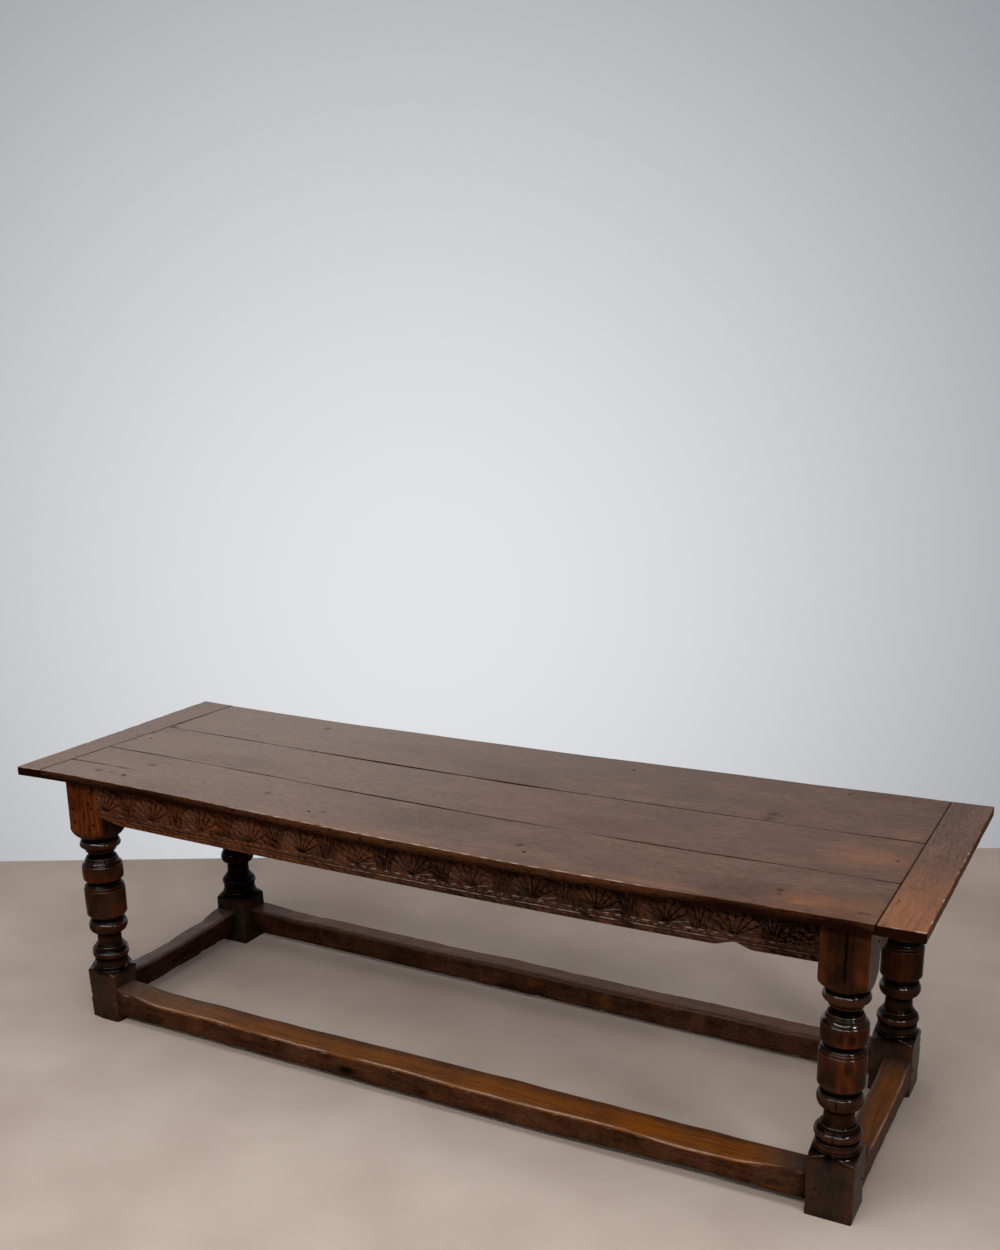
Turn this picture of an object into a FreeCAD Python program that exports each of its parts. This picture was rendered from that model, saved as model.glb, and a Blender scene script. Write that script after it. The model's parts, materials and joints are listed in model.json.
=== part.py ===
import FreeCAD, Part
import math
import os

from FreeCAD import Vector

# Refectory table of pegged oak joinery, in millimetres.
# X runs along the length, Y from the front edge to the back edge, and Z is up.
# The origin lies on the floor, under the middle of the top.

# Top: three long boards between two cross boards (cleats)
top_length = 2475.0
top_width = 815.0
top_thickness = 25.0
left_cleat_front_width = 84.0
left_cleat_back_width = 112.0
right_cleat_front_width = 101.0
right_cleat_back_width = 102.0
front_seam_left = -140.0  # Y of the seam between the front and middle boards, at the left end
front_seam_right = -176.0
back_seam_left = 108.0  # Y of the seam between the middle and back boards, at the left end
back_seam_right = 86.0
seam_gap = 0.6
tongue_length = 32.0
tongue_thickness = 9.0
tongue_stop = 45.0  # from the front and back edges of the top to the ends of the tongue

# Legs: one square timber each, turned between a foot block and a top block
end_overhang = 120.0
side_overhang = 55.0
leg_square = 108.0
block_drop = 30.0  # plain part of the top block below the rails
foot_block_rise = 34.0  # plain part of the foot block above the stretchers

# Turned elements of a leg, from the foot block up: their heights
foot_shoulder = 18.0
base_ring = 34.0
base_groove = 4.0
base_bead = 28.0
base_cove = 14.0
lower_neck = 17.0
lower_bead = 43.0
drum_cup = 30.0
drum = 58.0
drum_groove = 4.0
drum_ring = 12.0
band_groove = 12.0
band = 52.0
flare = 26.0
upper_neck = 10.0
upper_bead = 40.0
upper_fillet = 10.0
top_shoulder = 36.0

# Depths of the turning, from the flat face of the square timber
bead_cut = 0.5
groove_cut = 6.5
cup_cut = 10.0
neck_cut = 16.5
shoulder_swell = 5.0
cove_hollow = 3.0
neck_hollow = 1.0

# Rails under the top
rail_depth = 115.0
rail_thickness = 32.0
rail_recess = 2.0  # from the outer faces of the legs to the outer faces of the rails
rail_tenon_thickness = 12.0
rail_tenon_shoulder = 12.0  # above and below the tenon
rail_peg_margin = 35.0  # from the top and bottom edges of a rail to its pegs

# Shaped lower edge of the front rail
notch_from_leg = 186.0  # from the right leg to the cusp of the notch
notch_rise = 12.0
notch_left_run = 50.0
notch_right_run = 46.0
end_rise = 11.0  # the lower edge climbs this much towards the left leg
end_run = 90.0

# Stretchers near the floor
stretcher_lift = 33.0
stretcher_height = 75.0
stretcher_width = 68.0
stretcher_recess = 1.0
stretcher_tenon_thickness = 20.0
stretcher_tenon_shoulder = 10.0

# Wear left by feet on the upper faces of the stretchers
front_wear_outer = 16.0  # depth of wear at the front edge of the front stretcher
front_wear_inner = 4.0  # and at its back edge
back_wear = 8.0
end_wear = 7.0
wear_start = 20.0  # from the legs to where the wear begins
long_wear_run = 160.0  # length over which it reaches its full depth on a long stretcher
end_wear_run = 100.0

# Cross bearer under the middle of the top
bearer_width = 60.0
bearer_depth = 65.0
bearer_tenon_length = 14.0
bearer_tenon_thickness = 28.0
bearer_tenon_shoulder = 14.0

# Pegs
peg_diameter = 9.0
peg_length = 46.0
peg_proud = 1.2
peg_setback = 22.0  # from the shoulder of a joint to its pegs
top_peg_count = 4
top_peg_inset = 95.0  # from the legs to the first peg
top_peg_depth = 48.0  # into the rails

# Clearances
tenon_clearance = 0.2  # each side of a tenon or tongue
tenon_end_gap = 0.8
tenon_web = 14.0  # wood left between two tenons that cross in a leg
peg_clearance = 0.1

# Levels, from the floor up
rail_bottom_to_top = rail_depth + top_thickness
stretcher_top = stretcher_lift + stretcher_height
foot_block_top = stretcher_top + foot_block_rise
turned_height = (
    foot_shoulder + base_ring + base_groove + base_bead + base_cove + lower_neck + lower_bead
    + drum_cup + drum + drum_groove + drum_ring + band_groove + band + flare
    + upper_neck + upper_bead + upper_fillet + top_shoulder
)
rail_bottom = foot_block_top + turned_height + block_drop
rail_top = rail_bottom + rail_depth
table_height = rail_bottom + rail_bottom_to_top

# Places in plan
half_length = top_length / 2
half_width = top_width / 2
leg_outer_x = half_length - end_overhang
leg_outer_y = half_width - side_overhang
leg_half = leg_square / 2
rail_middle = rail_recess + rail_thickness / 2  # from the legs' outer faces to a rail's middle
bearer_reach = leg_outer_y - rail_recess - rail_thickness
peg_radius = peg_diameter / 2
peg_hole_radius = peg_radius + peg_clearance

LEFT, RIGHT = -1, 1
FRONT, BACK = -1, 1
SIDE_NAMES = {LEFT: "left", RIGHT: "right"}
FACE_NAMES = {FRONT: "front", BACK: "back"}
RAIL = {
    "width": rail_thickness,
    "recess": rail_recess,
    "bottom": rail_bottom,
    "height": rail_depth,
    "tenon": rail_tenon_thickness,
    "shoulder": rail_tenon_shoulder,
    "peg_heights": [rail_bottom + rail_peg_margin, rail_top - rail_peg_margin],
}
STRETCHER = {
    "width": stretcher_width,
    "recess": stretcher_recess,
    "bottom": stretcher_lift,
    "height": stretcher_height,
    "tenon": stretcher_tenon_thickness,
    "shoulder": stretcher_tenon_shoulder,
    "peg_heights": [stretcher_lift + stretcher_height / 2],
}


def block(x_range, y_range, z_range):
    """A square-edged block between two values on each axis, given in either order."""
    low = Vector(min(x_range), min(y_range), min(z_range))
    high = Vector(max(x_range), max(y_range), max(z_range))
    size = high - low
    return Part.makeBox(size.x, size.y, size.z, low)


def prism(corners, bottom, height):
    """An upright prism on a plan of (x, y) corners."""
    points = [Vector(x, y, bottom) for x, y in corners]
    face = Part.Face(Part.makePolygon(points + points[:1]))
    return face.extrude(Vector(0, 0, height))


def upright_pin(x, y, bottom, top, radius):
    """A round pin or hole along Z."""
    return Part.makeCylinder(radius, top - bottom, Vector(x, y, bottom))


class Member:
    """A rail or stretcher between two legs: along X on the front or back, along Y at an end."""

    def __init__(self, sizes, along_x, side):
        self.sizes = sizes
        self.along_x = along_x
        self.side = side
        self.span = (leg_outer_x if along_x else leg_outer_y) - leg_square
        self.outer = leg_outer_y if along_x else leg_outer_x
        self.middle = self.outer - sizes["recess"] - sizes["width"] / 2
        self.tenon_length = leg_square - (self.outer - self.middle) - sizes["tenon"] / 2 - tenon_web

    def piece(self, along, across, heights):
        """A block from its reach along the member, its reach outwards and its heights."""
        outwards = [self.side * value for value in across]
        if self.along_x:
            return block(along, outwards, heights)
        return block(outwards, along, heights)

    def body(self):
        """The length that shows between the legs."""
        half = self.sizes["width"] / 2
        bottom = self.sizes["bottom"]
        return self.piece(
            (-self.span, self.span),
            (self.middle - half, self.middle + half),
            (bottom, bottom + self.sizes["height"]),
        )

    def tenon(self, end, clearance=0.0, end_gap=0.0):
        """The tenon at one end, or with clearances the mortise that takes it."""
        half = self.sizes["tenon"] / 2 + clearance
        bottom = self.sizes["bottom"] + self.sizes["shoulder"] - clearance
        top = self.sizes["bottom"] + self.sizes["height"] - self.sizes["shoulder"] + clearance
        reach = (end * self.span, end * (self.span + self.tenon_length + end_gap))
        return self.piece(reach, (self.middle - half, self.middle + half), (bottom, top))

    def mortise(self, end):
        """The room for the tenon in the leg at one end."""
        return self.tenon(end, tenon_clearance, tenon_end_gap)

    def peg_line(self, end, height):
        """Where a peg enters the leg's outer face, and the way it is driven."""
        along = end * (self.span + peg_setback)
        across = self.side * self.outer
        if self.along_x:
            return Vector(along, across, height), Vector(0, -self.side, 0)
        return Vector(across, along, height), Vector(-self.side, 0, 0)

    def peg_holes(self, end):
        """The holes of one joint, bored through the leg's cheek and the tenon."""
        holes = []
        for height in self.sizes["peg_heights"]:
            mouth, inwards = self.peg_line(end, height)
            depth = peg_length + tenon_end_gap
            holes.append(Part.makeCylinder(peg_hole_radius, depth, mouth, inwards))
        return holes

    def pegs(self):
        """The pegs of both joints, each with a bevelled head that stands a little proud."""
        pegs = []
        for end in (-1, 1):
            for height in self.sizes["peg_heights"]:
                mouth, inwards = self.peg_line(end, height)
                shank = Part.makeCylinder(peg_radius, peg_length, mouth, inwards)
                head = Part.makeCone(peg_radius, peg_radius - peg_proud, peg_proud, mouth, -inwards)
                pegs.append(shank.fuse(head).removeSplitter())
        return pegs

    def timber(self, body=None):
        """The whole member: its body, a bored tenon at each end, and nothing else cut."""
        solid = body or self.body()
        for end in (-1, 1):
            solid = solid.fuse(self.tenon(end))
        for end in (-1, 1):
            solid = solid.cut(Part.makeCompound(self.peg_holes(end)))
        return solid.removeSplitter()


def members_at(side, face):
    """The four members that meet in one leg, each with the end that enters it."""
    return [
        (Member(RAIL, True, face), side),
        (Member(RAIL, False, side), face),
        (Member(STRETCHER, True, face), side),
        (Member(STRETCHER, False, side), face),
    ]


def turning_outline():
    """Half outline of a leg: (height, radius at the top of the element, swell at its middle)."""
    bead = leg_half - bead_cut
    groove = leg_half - groove_cut
    cup = leg_half - cup_cut
    neck = leg_half - neck_cut
    corner = leg_half * math.sqrt(2) + shoulder_swell
    return corner, [
        (foot_block_top, corner, 0),
        (foot_shoulder, groove, shoulder_swell),
        (base_ring, groove, bead - groove),
        (base_groove, groove, 0),
        (base_bead, groove, bead - groove),
        (base_cove, neck, -cove_hollow),
        (lower_neck, neck, -neck_hollow),
        (lower_bead, cup, bead - (neck + cup) / 2),
        (drum_cup, bead, cove_hollow),
        (drum, bead, 0),
        (0, groove, 0),
        (drum_groove, groove, 0),
        (drum_ring, groove, bead - groove),
        (band_groove, groove, -cove_hollow),
        (0, bead, 0),
        (band, bead, 0),
        (flare, neck, cove_hollow),
        (upper_neck, neck, -neck_hollow),
        (upper_bead, groove, bead - (neck + groove) / 2),
        (0, bead, 0),
        (upper_fillet, bead, 0),
        (0, groove, 0),
        (top_shoulder, corner, shoulder_swell),
        (block_drop + rail_depth, corner, 0),
        (0, 0, 0),
    ]


def turned_leg():
    """The leg on its own axis: the turned form, trimmed to the faces of the square timber."""
    radius, elements = turning_outline()
    here = Vector(radius, 0, 0)
    edges = [Part.makeLine(Vector(0, 0, 0), here)]
    for height, radius, swell in elements:
        there = Vector(radius, 0, here.z + height)
        if swell:
            middle = (here + there) / 2 + Vector(swell, 0, 0)
            edges.append(Part.Arc(here, middle, there).toShape())
        else:
            edges.append(Part.makeLine(here, there))
        here = there
    edges.append(Part.makeLine(here, Vector(0, 0, 0)))
    turned = Part.Face(Part.Wire(edges)).revolve(Vector(0, 0, 0), Vector(0, 0, 1), 360)
    square = block((-leg_half, leg_half), (-leg_half, leg_half), (0, rail_top))
    return square.common(turned)


def leg(turned, side, face):
    """One leg in its place, with the mortises and peg holes of the four members it takes."""
    solid = turned.copy()
    solid.translate(Vector(side * (leg_outer_x - leg_half), face * (leg_outer_y - leg_half), 0))
    for member, end in members_at(side, face):
        solid = solid.cut(member.mortise(end))
        solid = solid.cut(Part.makeCompound(member.peg_holes(end)))
    return solid


def hollow_middle(run, rise):
    """Height at half its run of the arc that leaves a level edge smoothly and climbs by rise."""
    radius = (run ** 2 + rise ** 2) / (2 * rise)
    return radius - math.sqrt(radius ** 2 - run ** 2 / 4)


def carved_rail_body(member):
    """The front rail's length between the legs, with its shaped lower edge drawn in arcs."""
    left = -member.span
    right = member.span
    cusp = right - notch_from_leg
    front = -(member.middle + rail_thickness / 2)

    def at(x, rise):
        return Vector(x, front, rail_bottom + rise)

    def hollow(start, end, level, climb):
        middle = at((start + end) / 2, level + hollow_middle(abs(end - start), climb))
        return Part.Arc(at(start, level), middle, at(end, level + climb)).toShape()

    ogee = cusp + notch_right_run / 2
    lobe = cusp + notch_right_run
    lobe_middle = notch_rise / 2 - hollow_middle(notch_right_run / 2, notch_rise / 2)
    edges = [
        hollow(left + end_run, left, 0, end_rise),
        Part.makeLine(at(left + end_run, 0), at(cusp - notch_left_run, 0)),
        hollow(cusp - notch_left_run, cusp, 0, notch_rise),
        hollow(ogee, cusp, notch_rise / 2, notch_rise / 2),
        Part.Arc(at(ogee, notch_rise / 2), at((ogee + lobe) / 2, lobe_middle), at(lobe, 0)).toShape(),
        Part.makeLine(at(lobe, 0), at(right, 0)),
        Part.makeLine(at(right, 0), at(right, rail_depth)),
        Part.makeLine(at(right, rail_depth), at(left, rail_depth)),
        Part.makeLine(at(left, rail_depth), at(left, end_rise)),
    ]
    wire = Part.Wire(Part.sortEdges(edges)[0])
    return Part.Face(wire).extrude(Vector(0, rail_thickness, 0))


def bearer_tenon(face, clearance=0.0, end_gap=0.0):
    """The stub tenon at one end of the cross bearer, or its mortise in a long rail."""
    half = bearer_tenon_thickness / 2 + clearance
    bottom = rail_top - bearer_depth + bearer_tenon_shoulder - clearance
    top = rail_top - bearer_tenon_shoulder + clearance
    reach = (face * bearer_reach, face * (bearer_reach + bearer_tenon_length + end_gap))
    return block((-half, half), reach, (bottom, top))


def cross_bearer():
    """The bearer that carries the middle of the boards, between the long rails."""
    half = bearer_width / 2
    body = block((-half, half), (-bearer_reach, bearer_reach), (rail_top - bearer_depth, rail_top))
    for face in (FRONT, BACK):
        body = body.fuse(bearer_tenon(face))
    return body.removeSplitter()


def top_pegs_at(places, radius, drop=0.0):
    """Upright pegs through a board into the rail below it, or with a drop their holes."""
    bottom = rail_top - top_peg_depth - drop
    return [upright_pin(x, y, bottom, table_height, radius) for x, y in places]


def long_row(face):
    """Plan places of the pegs that hold a board down to a long rail."""
    reach = leg_outer_x - leg_square - top_peg_inset
    step = 2 * reach / (top_peg_count - 1)
    return [(-reach + k * step, face * (leg_outer_y - rail_middle)) for k in range(top_peg_count)]


def end_pair():
    """Plan places of the two pegs that hold the middle board down to the end rails."""
    x = leg_outer_x - rail_middle
    return [
        (-x, (front_seam_left + back_seam_left) / 2),
        (x, (front_seam_right + back_seam_right) / 2),
    ]


def long_rail(face):
    """A front or back rail, with the bearer's mortise and the holes of the top pegs."""
    member = Member(RAIL, True, face)
    body = carved_rail_body(member) if face == FRONT else member.body()
    solid = member.timber(body)
    solid = solid.cut(bearer_tenon(face, tenon_clearance, tenon_end_gap))
    return solid.cut(Part.makeCompound(top_pegs_at(long_row(face), peg_hole_radius, tenon_end_gap)))


def end_rail(side):
    """A left or right rail, with the hole of its top peg."""
    solid = Member(RAIL, False, side).timber()
    return solid.cut(Part.makeCompound(top_pegs_at(end_pair(), peg_hole_radius, tenon_end_gap)))


def foot_wear(member, outer_depth, inner_depth, run):
    """What feet have worn off a stretcher's upper face, running out towards the legs."""
    sizes = member.sizes
    half = sizes["width"] / 2
    margin = sizes["height"]
    slope = (outer_depth - inner_depth) / sizes["width"]
    deepest = max(outer_depth, inner_depth)
    start = member.span - wear_start

    def point(along, out, height):
        across = member.side * (member.middle + out)
        return Vector(along, across, height) if member.along_x else Vector(across, along, height)

    def section(along, lift):
        top = sizes["bottom"] + sizes["height"] + lift
        corners = [
            point(along, half + margin, top - outer_depth - slope * margin),
            point(along, half + margin, top + margin),
            point(along, -half - margin, top + margin),
            point(along, -half - margin, top - inner_depth + slope * margin),
        ]
        return Part.makePolygon(corners + corners[:1])

    places = [(-start, deepest), (run - start, 0), (start - run, 0), (start, deepest)]
    return Part.makeLoft([section(along, lift) for along, lift in places], True, True)


def stretcher(along_x, side, outer_depth, inner_depth, run):
    """A stretcher with the wear of its upper face."""
    member = Member(STRETCHER, along_x, side)
    return member.timber(member.body().cut(foot_wear(member, outer_depth, inner_depth, run)))


def joint_x(side, y):
    """X of the joint between the boards and a cleat, which may run askew."""
    if side == LEFT:
        front_width = left_cleat_front_width
        back_width = left_cleat_back_width
    else:
        front_width = right_cleat_front_width
        back_width = right_cleat_back_width
    share = (y + half_width) / top_width
    return side * (half_length - front_width - (back_width - front_width) * share)


def tongue_plan(side, front, back, length):
    """Plan of a tongue that runs along the joint of one cleat, between two values of Y."""
    return [
        (joint_x(side, front), front),
        (joint_x(side, front) + side * length, front),
        (joint_x(side, back) + side * length, back),
        (joint_x(side, back), back),
    ]


def board_edges(side):
    """Y of the two edges of the front, middle and back boards, at one end of the top."""
    front_seam = front_seam_left if side == LEFT else front_seam_right
    back_seam = back_seam_left if side == LEFT else back_seam_right
    half_gap = seam_gap / 2
    return [
        (-half_width, front_seam - half_gap),
        (front_seam + half_gap, back_seam - half_gap),
        (back_seam + half_gap, half_width),
    ]


def tongue_edges(side, k):
    """Y of the two ends of one board's tongue at one cleat."""
    front, back = board_edges(side)[k]
    limit = half_width - tongue_stop
    return max(front, -limit), min(back, limit)


def cleat_peg_places(side):
    """Plan places of the pegs that hold the boards' tongues in one cleat."""
    places = []
    for k in range(3):
        y = sum(tongue_edges(side, k)) / 2
        places.append((joint_x(side, y) + side * tongue_length / 2, y))
    return places


def cleat_pins(side, radius):
    """The pegs of one cleat, or with a larger radius their holes."""
    return [upright_pin(x, y, rail_top, table_height, radius) for x, y in cleat_peg_places(side)]


def top_board(k, peg_places):
    """One long board with a tongue at each end, bored for its pegs."""
    left_front, left_back = board_edges(LEFT)[k]
    right_front, right_back = board_edges(RIGHT)[k]
    plan = [
        (joint_x(LEFT, left_front), left_front),
        (joint_x(RIGHT, right_front), right_front),
        (joint_x(RIGHT, right_back), right_back),
        (joint_x(LEFT, left_back), left_back),
    ]
    solid = prism(plan, rail_top, top_thickness)
    tongue_bottom = rail_top + (top_thickness - tongue_thickness) / 2
    for side in (LEFT, RIGHT):
        front, back = tongue_edges(side, k)
        tongue = prism(tongue_plan(side, front, back, tongue_length), tongue_bottom, tongue_thickness)
        solid = solid.fuse(tongue)
    holes = top_pegs_at(peg_places, peg_hole_radius)
    for side in (LEFT, RIGHT):
        holes += cleat_pins(side, peg_hole_radius)
    return solid.removeSplitter().cut(Part.makeCompound(holes))


def cleat(side):
    """One cross board, grooved for the boards' tongues and bored for its pegs."""
    plan = [
        (joint_x(side, -half_width), -half_width),
        (side * half_length, -half_width),
        (side * half_length, half_width),
        (joint_x(side, half_width), half_width),
    ]
    limit = half_width - tongue_stop + tenon_clearance
    groove_thickness = tongue_thickness + 2 * tenon_clearance
    groove_bottom = rail_top + (top_thickness - groove_thickness) / 2
    reach = tongue_length + tenon_end_gap
    groove = prism(tongue_plan(side, -limit, limit, reach), groove_bottom, groove_thickness)
    solid = prism(plan, rail_top, top_thickness).cut(groove)
    return solid.cut(Part.makeCompound(cleat_pins(side, peg_hole_radius)))


def frame_nodes():
    """Legs, rails, stretchers and bearer, with the pegs of their joints."""
    nodes = {}
    turned = turned_leg()
    for face, face_name in FACE_NAMES.items():
        for side, side_name in SIDE_NAMES.items():
            nodes["%s_%s_leg" % (face_name, side_name)] = leg(turned, side, face)
        nodes[face_name + "_rail"] = long_rail(face)
        nodes[face_name + "_rail_pegs"] = Part.makeCompound(Member(RAIL, True, face).pegs())
        nodes[face_name + "_stretcher_pegs"] = Part.makeCompound(Member(STRETCHER, True, face).pegs())
    nodes["front_stretcher"] = stretcher(True, FRONT, front_wear_outer, front_wear_inner, long_wear_run)
    nodes["back_stretcher"] = stretcher(True, BACK, back_wear, back_wear, long_wear_run)
    for side, side_name in SIDE_NAMES.items():
        nodes[side_name + "_end_rail"] = end_rail(side)
        nodes[side_name + "_end_rail_pegs"] = Part.makeCompound(Member(RAIL, False, side).pegs())
        nodes[side_name + "_end_stretcher"] = stretcher(False, side, end_wear, end_wear, end_wear_run)
        end_pegs = Member(STRETCHER, False, side).pegs()
        nodes[side_name + "_end_stretcher_pegs"] = Part.makeCompound(end_pegs)
    nodes["cross_bearer"] = cross_bearer()
    return nodes


def top_nodes():
    """Boards and cleats, with the pegs that hold them."""
    nodes = {}
    rows = {"front": long_row(FRONT), "middle": end_pair(), "back": long_row(BACK)}
    for k, (name, places) in enumerate(rows.items()):
        nodes[name + "_top_board"] = top_board(k, places)
        nodes[name + "_top_pegs"] = Part.makeCompound(top_pegs_at(places, peg_radius))
    for side, side_name in SIDE_NAMES.items():
        nodes[side_name + "_cleat"] = cleat(side)
        nodes[side_name + "_cleat_pegs"] = Part.makeCompound(cleat_pins(side, peg_radius))
    return nodes


def main():
    os.makedirs("parts", exist_ok=True)
    nodes = {**frame_nodes(), **top_nodes()}
    for name, shape in nodes.items():
        shape.exportStep("parts/%s.step" % name)
        print("%-28s solids %d  volume %.1f cm3  valid %s" % (
            name, len(shape.Solids), shape.Volume / 1000, shape.isValid()))
    print("table height", table_height)


main()
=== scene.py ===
# %% [markdown]
# # An old oak refectory table, dressed for the studio
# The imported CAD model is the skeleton: it says where every timber is and how large it is. Each plain solid
# is then replaced by a surface that shows what years of use did to it: rounded arrises, chips, dished
# stretchers, a sagging top and a carved front rail. Everything is in metres, in the frame of the CAD model.

# %% Load the frame
import json
import bpy
import numpy as np
from mathutils import Matrix, Vector


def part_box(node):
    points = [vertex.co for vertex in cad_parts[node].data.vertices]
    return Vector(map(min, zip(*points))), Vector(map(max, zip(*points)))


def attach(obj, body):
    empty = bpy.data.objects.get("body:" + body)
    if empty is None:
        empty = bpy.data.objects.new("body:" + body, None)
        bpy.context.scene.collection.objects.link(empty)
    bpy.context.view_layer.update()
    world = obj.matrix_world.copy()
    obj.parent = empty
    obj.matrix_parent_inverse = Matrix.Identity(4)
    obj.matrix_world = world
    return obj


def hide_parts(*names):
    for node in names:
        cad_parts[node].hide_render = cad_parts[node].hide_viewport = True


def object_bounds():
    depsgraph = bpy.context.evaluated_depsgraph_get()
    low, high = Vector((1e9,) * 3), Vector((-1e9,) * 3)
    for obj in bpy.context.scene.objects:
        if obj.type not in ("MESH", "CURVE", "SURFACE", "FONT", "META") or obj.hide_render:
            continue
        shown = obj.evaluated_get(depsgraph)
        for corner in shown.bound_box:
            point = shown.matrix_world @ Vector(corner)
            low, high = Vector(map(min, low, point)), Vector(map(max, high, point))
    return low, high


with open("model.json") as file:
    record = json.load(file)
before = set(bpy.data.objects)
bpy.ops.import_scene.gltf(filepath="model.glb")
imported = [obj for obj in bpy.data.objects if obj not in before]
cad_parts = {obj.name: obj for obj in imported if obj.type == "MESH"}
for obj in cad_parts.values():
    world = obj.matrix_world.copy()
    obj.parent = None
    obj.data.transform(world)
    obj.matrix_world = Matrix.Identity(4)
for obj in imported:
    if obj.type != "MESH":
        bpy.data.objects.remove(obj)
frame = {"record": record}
cad_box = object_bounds()
MM = 0.001
half_length, half_width, table_height = cad_box[1]
print(f"CAD model: {2 * half_length:.3f} x {2 * half_width:.3f} x {table_height:.3f} m")

# %% [markdown]
# ## Camera
# The photograph was taken near the right front corner, looking down along the table. The angles come from a
# perspective fit to the corners of the top and the feet. The picture was cropped from a larger one, so the
# lens axis is not in its middle: a small vertical shift of the lens says that without tilting the camera.

# %% Camera at the photograph's place
IMAGE_HEIGHT = 1250     # pixels
FOCAL_PIXELS = 1390.3
AXIS_ROW = 750          # pixel row that the lens axis meets
SENSOR = 36.0
CAMERA_PLACE = Vector((1.676, -3.038, 1.925))
YAW, PITCH, ROLL = np.radians((-27.90, 17.05, -0.80))

forward = Vector((np.sin(YAW) * np.cos(PITCH), np.cos(YAW) * np.cos(PITCH), -np.sin(PITCH)))
level = Vector((np.cos(YAW), -np.sin(YAW), 0))
upright = level.cross(forward)
camera_right = level * np.cos(ROLL) + upright * np.sin(ROLL)
camera_up = upright * np.cos(ROLL) - level * np.sin(ROLL)
lens = bpy.data.cameras.new("camera")
lens.sensor_fit = "VERTICAL"
lens.sensor_height = SENSOR
lens.lens = FOCAL_PIXELS / IMAGE_HEIGHT * SENSOR
lens.shift_y = AXIS_ROW / IMAGE_HEIGHT - 0.5
camera = bpy.data.objects.new("camera", lens)
turned = Matrix((camera_right, camera_up, -forward)).transposed()
camera.matrix_world = Matrix.Translation(CAMERA_PLACE) @ turned.to_4x4()
bpy.context.scene.collection.objects.link(camera)
bpy.context.scene.camera = camera
print(f"lens {lens.lens:.1f} mm, shift {lens.shift_y:.2f}")

# %% [markdown]
# ## Four small tools
# Colours are written as the sRGB hex values that a colour picker shows, but shaders count in linear light,
# so one function converts them. Another adds a shader node with its settings and its links in one call, and
# a third starts a new material. The last makes a mesh from a grid of points: neighbouring rows and columns
# become quads, and each end ring is closed by one flat face.

# %% Colour and node helpers
def colour(hex_value):
    """Linear RGBA of an sRGB hex colour: a channel c becomes c/12.92 below 0.04045, else
    ((c+0.055)/1.055)^2.4."""
    srgb = np.array([int(hex_value[i:i + 2], 16) for i in (1, 3, 5)]) / 255
    linear = np.where(srgb <= 0.04045, srgb / 12.92, ((srgb + 0.055) / 1.055) ** 2.4)
    return (*linear, 1.0)


def node(tree, kind, inputs=None, **settings):
    """Add one shader node; an input is either a plain value or the output socket that feeds it."""
    made = tree.nodes.new(kind)
    for key, value in settings.items():
        setattr(made, key, value)
    for key, value in (inputs or {}).items():
        if isinstance(value, bpy.types.NodeSocket):
            tree.links.new(value, made.inputs[key])
        else:
            made.inputs[key].default_value = value
    return made


def new_material(name):
    """A new material, its node tree and the main shader in it."""
    material = bpy.data.materials.new(name)
    material.use_nodes = True
    return material, material.node_tree, material.node_tree.nodes["Principled BSDF"]


print("middle grey is", round(colour("#808080")[0], 3), "in linear light")

# %% Mesh helper
SHARP_ANGLE = np.radians(50)


def grid_mesh(name, points, layers, loop=True):
    """Quads between the rows and columns of islands x rows x columns x 3 points. loop joins the last
    column to the first and closes both ends of each island; the quads are turned round if they enclose a
    negative volume."""
    points = points.reshape((-1, *points.shape[-3:]))
    islands, rows, columns = points.shape[:3]
    index = np.arange(islands * rows * columns).reshape(islands, rows, columns)
    ring = np.concatenate([index, index[:, :, :1]], axis=2) if loop else index
    corners = (ring[:, :-1, :-1], ring[:, 1:, :-1], ring[:, 1:, 1:], ring[:, :-1, 1:])
    quads = np.stack(corners, axis=-1).reshape(-1, 4)
    ends = [*index[:, 0], *index[:, -1, ::-1]] if loop else []
    spots = points.reshape(-1, 3)
    a, b, c, d = (spots[quads[:, i]] - spots.mean(axis=0) for i in range(4))
    if loop and np.sum(a * np.cross(b, c) + a * np.cross(c, d)) < 0:
        quads = quads[:, ::-1]
        ends = [end[::-1] for end in ends]
    mesh = bpy.data.meshes.new(name)
    mesh.from_pydata(spots.tolist(), [], quads.tolist() + [end.tolist() for end in ends])
    for layer, values in layers.items():
        kind, field = ("FLOAT_VECTOR", "vector") if values.shape[-1:] == (3,) else ("FLOAT", "value")
        mesh.attributes.new(layer, kind, "POINT").data.foreach_set(field, values.ravel().astype(np.float32))
    mesh.shade_smooth()
    mesh.set_sharp_from_angle(angle=SHARP_ANGLE)
    mesh.polygons.foreach_set("use_smooth", np.arange(len(mesh.polygons)) < len(quads))
    piece = bpy.data.objects.new(name, mesh)
    bpy.context.scene.collection.objects.link(piece)
    return piece


print("edges sharper than", round(np.degrees(SHARP_ANGLE)), "degrees stay crisp")

# %% [markdown]
# ## Studio
# A plain pale floor and a pale wall with a pool of light painted on it, brightest behind the table and
# falling to grey away from it, because the wide polished top mirrors the wall at a grazing angle and takes
# much of its look from it. The wall is seen only from its front, so that the table can be looked at from
# behind as well. The light is one broad soft source overhead, for the top and the floor, a long strip
# before the table, which draws the line of light across every turned ring, and a small softbox at the
# right for a second glint.

# %% Floor material
FLOOR_PATCH = 0.35


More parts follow.
